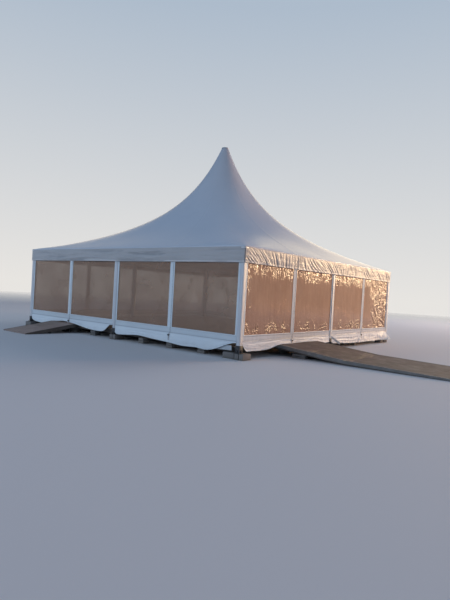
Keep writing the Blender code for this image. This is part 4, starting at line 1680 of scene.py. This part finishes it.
def makeBearers():
    small, kerbs, wide = [], [], []
    reach = postInner - drawnFrame["plate"] - 0.010
    for number in range(5):
        low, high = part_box("floor_bearer_" + str(number + 1))
        edge = number in (0, 4)
        way = -1 if number == 0 else 1
        beamY = way * (reach - blockStack["beam"] / 2) if edge else (low.y + high.y) / 2
        shape = bmesh.new()
        joint = (-reach, -reach / 3, reach / 3, reach)
        for start, stop in zip(joint, joint[1:]):
            addBox(shape, (start + 0.002, beamY - blockStack["beam"] / 2, blockStack["top"]),
                   (stop - 0.002, beamY + blockStack["beam"] / 2, high.z), 0.004)
        name = str(number + 1)
        addPiece("bearer" + name, shape, "bearerTimber", "bearer_timber", "floor_bearer_" + name)
        for step in range(-3, 4):
            if not (edge and step == 0):
                askew = 0.10 * math.sin(step * 5 + number)
                small.append(((step * blockStack["pitch"], beamY, 0), (0, 0, askew)))
        if number in (1, 3):
            for way in (-1, 1):
                small.append(((way * (reach - blockStack["size"] / 2), beamY, 0), (0, 0, 0.05)))
    for number in range(4):
        turn = sideTurn(number)
        corner = wallFace + drawnFrame["plate"] - blockStack["kerb"][1] / 2 - blockStack["inset"]
        inward = blockStack["tuckedIn"] if number in (1, 2) else 0.0
        for middle, shift in ((corner, inward), (0.0, blockStack["midShift"])):
            for place, turned in zip(blockStack["kerbSpots"], (0.02, -0.03)):
                spot = turn @ Vector((middle + place + shift, -corner, 0))
                kerbs.append((spot, (0, 0, math.radians(90 * number) + turned)))
        aside, back = blockStack["wideSpot"]
        spot = turn @ Vector((corner + aside + inward, -corner + back, 0))
        wide.append((spot, (0, 0, math.radians(90 * number) + 0.05)))
    size = blockStack["size"]
    for name, pad, places, seed in (
            ("floorPads", padStack(size, size, 2, 0.012), small, 9),
            ("postKerbs", padStack(*blockStack["kerb"], 1, 0), kerbs, 3),
            ("cornerBlocks", padStack(*blockStack["wide"], 1, 0), wide, 6)):
        spread(name, pad, places, "concrete", "bearer_timber", seed=seed)


makeFloor()
makeBearers()
print("floor and pads made")


# Ramps

rampBuild = {
    "deck": 0.030,
    "joint": 0.006,
    "sheet": 1.22,           # length of one plywood sheet down the slope
    # the front ramp's sheets are painted paler, as painted light
    "sheets": {"front": "paleRamp", "right": "rampPly"},
    "screwEnd": 0.04,        # how far the screws stand from a sheet's ends and sides
    "screwSide": 0.09,
    "screwHead": [(0, -0.003), (0.006, -0.001), (0.0065, 0.0008), (0.004, 0.0014), (0, 0.0010)],
    "stringer": 0.06,        # width and depth of the timbers down the slope
    "stringerDeep": 0.085,
    "crossPieces": (0.02, 0.25, 0.5, 0.72),      # their places, as a share of the slope
    "padOut": 0.65,          # the blocks stand this far beyond the eave
    "padSide": 0.11,
    "trimSheet": 0.003,
    "trim": {                # flange, drop and finish
        "front": (0.020, 0.034, "bearerTimber"),
        "right": (0.055, 0.084, "edgeTrim"),
    },
    "bend": {"front": None, "right": (2.00, 0.125)},   # where the slope changes: out from the eave, height
}


def rampLine(side):
    # the deck's top edge as (distance from the middle, height)
    low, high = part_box("ramp_" + side + "_deck")
    start = deckTop
    far = -low.y if side == "front" else high.x
    near = -high.y if side == "front" else low.x
    line = [(near, start)]
    bend = rampBuild["bend"][side]
    if bend:
        line.append((halfPlan + bend[0], bend[1]))
    line.append((far, rampBuild["deck"]))
    return line


def heightOn(line, out):
    for (outA, highA), (outB, highB) in zip(line, line[1:]):
        if out <= outB:
            return highA + (highB - highA) * (out - outA) / (outB - outA)
    return line[-1][1]


def makeRampSheets(side, turn, centre, width, line):
    boards = bmesh.new()
    screws = []
    for part, ((outA, highA), (outB, highB)) in enumerate(zip(line, line[1:])):
        length = math.hypot(outB - outA, highA - highB)
        slope = math.atan2(highA - highB, outB - outA)
        count = max(1, round(length / rampBuild["sheet"]))
        mesh = grow(boardTree, bpy.data.meshes.new("bed"), rampBuild["sheets"][side], {
            "Length": width - 2 * rampBuild["trimSheet"], "Width": length, "Joint": rampBuild["joint"],
            "Thickness": rampBuild["deck"] - 0.004, "Columns": 2, "Rows": count,
            "Seed": 12 + part + sideNames.index(side) * 3,
        })
        tilt = Matrix.Rotation(slope, 4, "X")
        middle = Vector((centre, -(outA + outB) / 2, (highA + highB) / 2 - rampBuild["deck"] / 2 + 0.001))
        mesh.transform(Matrix.Translation(middle) @ tilt)
        boards.from_mesh(mesh)
        down = Vector((0, -math.cos(slope), -math.sin(slope)))
        lean = (turn @ tilt).to_euler()
        outer = width / 2 - rampBuild["screwSide"]
        for row in range(count):
            for place in (rampBuild["screwEnd"], length / count - rampBuild["screwEnd"]):
                along = Vector((centre, -outA, highA - 0.0005)) + down * (row * length / count + place)
                for across in (-outer, -width / 4, -0.06, 0.06, width / 4, outer):
                    screws.append((turn @ (along + Vector((across, 0, 0))), lean))
    mesh = meshFrom(boards)
    mesh.transform(turn)
    deck = newPiece(side + "RampSheets", mesh, rampBuild["sheets"][side])
    breakEdges(deck, 0.002)
    rides(deck, "ramp_board", "ramp_" + side + "_deck")
    head = bmesh.new()
    addLathe(head, rampBuild["screwHead"], 10)
    spread(side + "RampScrews", head, screws, "zinc", "ramp_board")


def makeRampTrim(side, turn, centre, width, line):
    # a bent sheet over each long edge of the deck
    trim = bmesh.new()
    flange, drop, finish = rampBuild["trim"][side]
    for sign in (-1, 1):
        edgeX = centre + sign * (width / 2 - 0.001)
        inner, outer = edgeX - sign * flange, edgeX + sign * rampBuild["trimSheet"]
        for ends in zip(line, line[1:]):
            rings = []
            for out, high in ends:
                top, foot = high + 0.001, high - min(drop, high - 0.003)
                cover = top + rampBuild["trimSheet"]
                section = ((inner, top), (inner, cover), (outer, cover),
                           (outer, foot), (edgeX, foot), (edgeX, top))
                rings.append([trim.verts.new(turn @ Vector((x, -out, z))) for x, z in section])
            joinRings(trim, rings)
    bmesh.ops.recalc_face_normals(trim, faces=trim.faces)
    addPiece(side + "RampTrim", trim, finish, "ramp_board")


def makeRampFrame(side, turn, centre, width, under):
    shape = bmesh.new()
    wide = rampBuild["stringer"]
    stops = steps([out for out, high in under], 0.5)
    for x in (centre - width / 2 + 0.002, centre - wide / 2, centre + width / 2 - wide - 0.002):
        rings = []
        for out in stops:
            high = max(heightOn(under, out), 0.006)
            low = max(high - rampBuild["stringerDeep"], 0.0)
            section = ((x, low), (x + wide, low), (x + wide, high), (x, high))
            rings.append([shape.verts.new(turn @ Vector((spot, -out, z))) for spot, z in section])
        joinRings(shape, rings)
    bmesh.ops.recalc_face_normals(shape, faces=shape.faces)
    start, last = under[0][0], under[-1][0]
    for share in rampBuild["crossPieces"]:
        out = start + 0.06 + share * (last - start - 0.1)
        high = heightOn(under, out)
        crossPiece = bmesh.new()
        addBox(crossPiece, (centre - width / 2 + 0.05, -out - 0.02, max(high - 0.08, 0.002)),
               (centre + width / 2 - 0.05, -out + 0.02, high - 0.004), 0.002)
        stamp(shape, crossPiece, turn)
        crossPiece.free()
    addPiece(side + "RampFrame", shape, "bearerTimber", "bearer_timber", "ramp_" + side + "_frame")


def makeRampPads(side, turn, centre, width, under):
    # two flat blocks on each other under each stringer
    out = halfPlan + rampBuild["padOut"]
    tall = heightOn(under, out + 0.20) - rampBuild["stringerDeep"]
    pad = bmesh.new()
    addBox(pad, (-0.20, -0.105, 0), (0.20, 0.105, max(tall * 0.5 - 0.004, 0.02)), 0.006)
    addBox(pad, (-0.19, -0.10, tall * 0.5 + 0.004), (0.19, 0.10, tall), 0.006, (0, 0, 0.03))
    number = sideNames.index(side)
    outer = width / 2 - rampBuild["padSide"]
    pads = [(turn @ Vector((centre + aside, -out, 0)), (0, 0, math.radians(90 * number + 90)))
            for aside in (-outer, 0, outer)]
    spread(side + "RampPads", pad, pads, "concrete", "bearer_timber", seed=21 + number)


def makeRamp(side):
    turn = sideTurn(sideNames.index(side))
    centre, width = rampSpan(side)
    line = rampLine(side)
    under = [(out, high - rampBuild["deck"] - 0.0005) for out, high in line]
    makeRampSheets(side, turn, centre, width, line)
    makeRampTrim(side, turn, centre, width, line)
    makeRampFrame(side, turn, centre, width, under)
    makeRampPads(side, turn, centre, width, under)


makeRamp("front")
makeRamp("right")
print("ramps made")


# Stage: plain pale floor that fades into the backdrop, soft light

studio = {
    "floor": (0.70, 0.70, 0.70),
    "fade": (22, 58),                      # the floor fades out between these distances
    "backdropLow": (0.80, 0.78, 0.75),     # seen by the camera, near the floor and high up
    "backdropHigh": (0.42, 0.50, 0.60),
    "domeLow": (0.30, 0.34, 0.42),         # what lights the tent
    "domeHigh": (0.11, 0.17, 0.27),
    "afterglow": (2.20, 1.83, 1.31),       # a wide pale glow low behind the tent
    "afterglowWay": (-0.30, 0.94, 0.08),
    "glow": (1.05, 0.66, 0.40),            # and a warmer one to its right
    "glowWay": (0.52, 0.85, 0.10),
    "glowFrom": {"afterglow": 0.58, "glow": 0.80},     # the nearer to 1, the narrower
    "glowBand": (0.45, 0.10),              # both fade out between these heights in the sky
}
lights = {
    # name: place, aim, size, power, colour, and what it does: light the cloth, shine in it or both
    "lowSunPanel": ((29, 40, 6.5), (5, 0, 1.5), 10, 11100, (1.0, 0.50, 0.27), "lights"),
    "glintPanel": ((30, 64, 17), (5, 0, 1.5), 20, 34000, (1.0, 0.70, 0.40), "shines"),
    "rightPanel": ((40, -4, 8), (3, 0, 2), 14, 1100, (1.0, 0.82, 0.72), "both"),
    "frontPanel": ((-14, -38, 15), (0, 0, 2), 16, 4550, (0.66, 0.80, 1.0), "lights"),
    "backPanel": ((8, 34, 24), (0, 0, 3), 20, 4600, (0.88, 0.91, 1.0), "lights"),
}


def makeWorld():
    world = bpy.data.worlds.new("studio")
    bpy.context.scene.world = world
    world.use_nodes = True
    tree = world.node_tree
    tree.nodes.clear()
    way = tree.nodes.new("ShaderNodeTexCoord").outputs["Generated"]
    parts = tree.nodes.new("ShaderNodeSeparateXYZ")
    tree.links.new(way, parts.inputs["Vector"])
    rise = parts.outputs["Z"]
    backdrop = mixColours(tree, spreadValues(tree, rise, 0.0, 0.5),
                          studio["backdropLow"], studio["backdropHigh"])
    dome = mixColours(tree, spreadValues(tree, rise, 0.0, 0.6), studio["domeLow"], studio["domeHigh"])
    low = spreadValues(tree, rise, *studio["glowBand"])
    for name, start in studio["glowFrom"].items():
        toGlow = addNode(tree, "ShaderNodeVectorMath", {1: Vector(studio[name + "Way"]).normalized()},
                         operation="DOT_PRODUCT")
        tree.links.new(way, toGlow.inputs[0])
        share = addNode(tree, "ShaderNodeMath", operation="MULTIPLY")
        tree.links.new(spreadValues(tree, toGlow.outputs["Value"], start, 1.0), share.inputs[0])
        tree.links.new(low, share.inputs[1])
        dome = mixColours(tree, share.outputs[0], dome, studio[name])
    rays = tree.nodes.new("ShaderNodeLightPath")
    seen = mixColours(tree, rays.outputs["Is Camera Ray"], dome, backdrop)
    sky = addNode(tree, "ShaderNodeBackground")
    output = tree.nodes.new("ShaderNodeOutputWorld")
    tree.links.new(seen, sky.inputs["Color"])
    tree.links.new(sky.outputs["Background"], output.inputs["Surface"])


def makeLights():
    for name, (place, aim, size, power, colour, work) in lights.items():
        lamp = bpy.data.lights.new(name, "AREA")
        lamp.shape = "SQUARE"
        lamp.size = size
        lamp.energy = power
        lamp.color = colour
        holder = bpy.data.objects.new(name, lamp)
        holder.location = place
        holder.rotation_euler = (Vector(place) - Vector(aim)).to_track_quat("Z", "Y").to_euler()
        holder.visible_camera = False
        holder.visible_glossy = work != "lights"
        holder.visible_diffuse = work != "shines"
        bpy.context.scene.collection.objects.link(holder)


def makeStudioFloor():
    mesh = bpy.data.meshes.new("studioFloor")
    reach = studio["fade"][1] + 2
    corners = [(-reach, -reach, 0), (reach, -reach, 0), (reach, reach, 0), (-reach, reach, 0)]
    mesh.from_pydata(corners, [], [(0, 1, 2, 3)])
    ground = bpy.data.objects.new("studioFloor", mesh)
    bpy.context.scene.collection.objects.link(ground)
    paint = bpy.data.materials.new("studioPaint")
    paint.use_nodes = True
    tree = paint.node_tree
    shader = tree.nodes["Principled BSDF"]
    shader.inputs["Base Color"].default_value = (*studio["floor"], 1)
    shader.inputs["Roughness"].default_value = 0.9
    coords = tree.nodes.new("ShaderNodeTexCoord")
    away = addNode(tree, "ShaderNodeVectorMath", operation="LENGTH")
    tree.links.new(coords.outputs["Object"], away.inputs[0])
    tree.links.new(spreadValues(tree, away.outputs["Value"], *studio["fade"], 1, 0), shader.inputs["Alpha"])
    mesh.materials.append(paint)


def makeStudio():
    makeWorld()
    makeLights()
    makeStudioFloor()
    bpy.context.scene.view_settings.view_transform = "Standard"


makeStudio()
print("studio made")
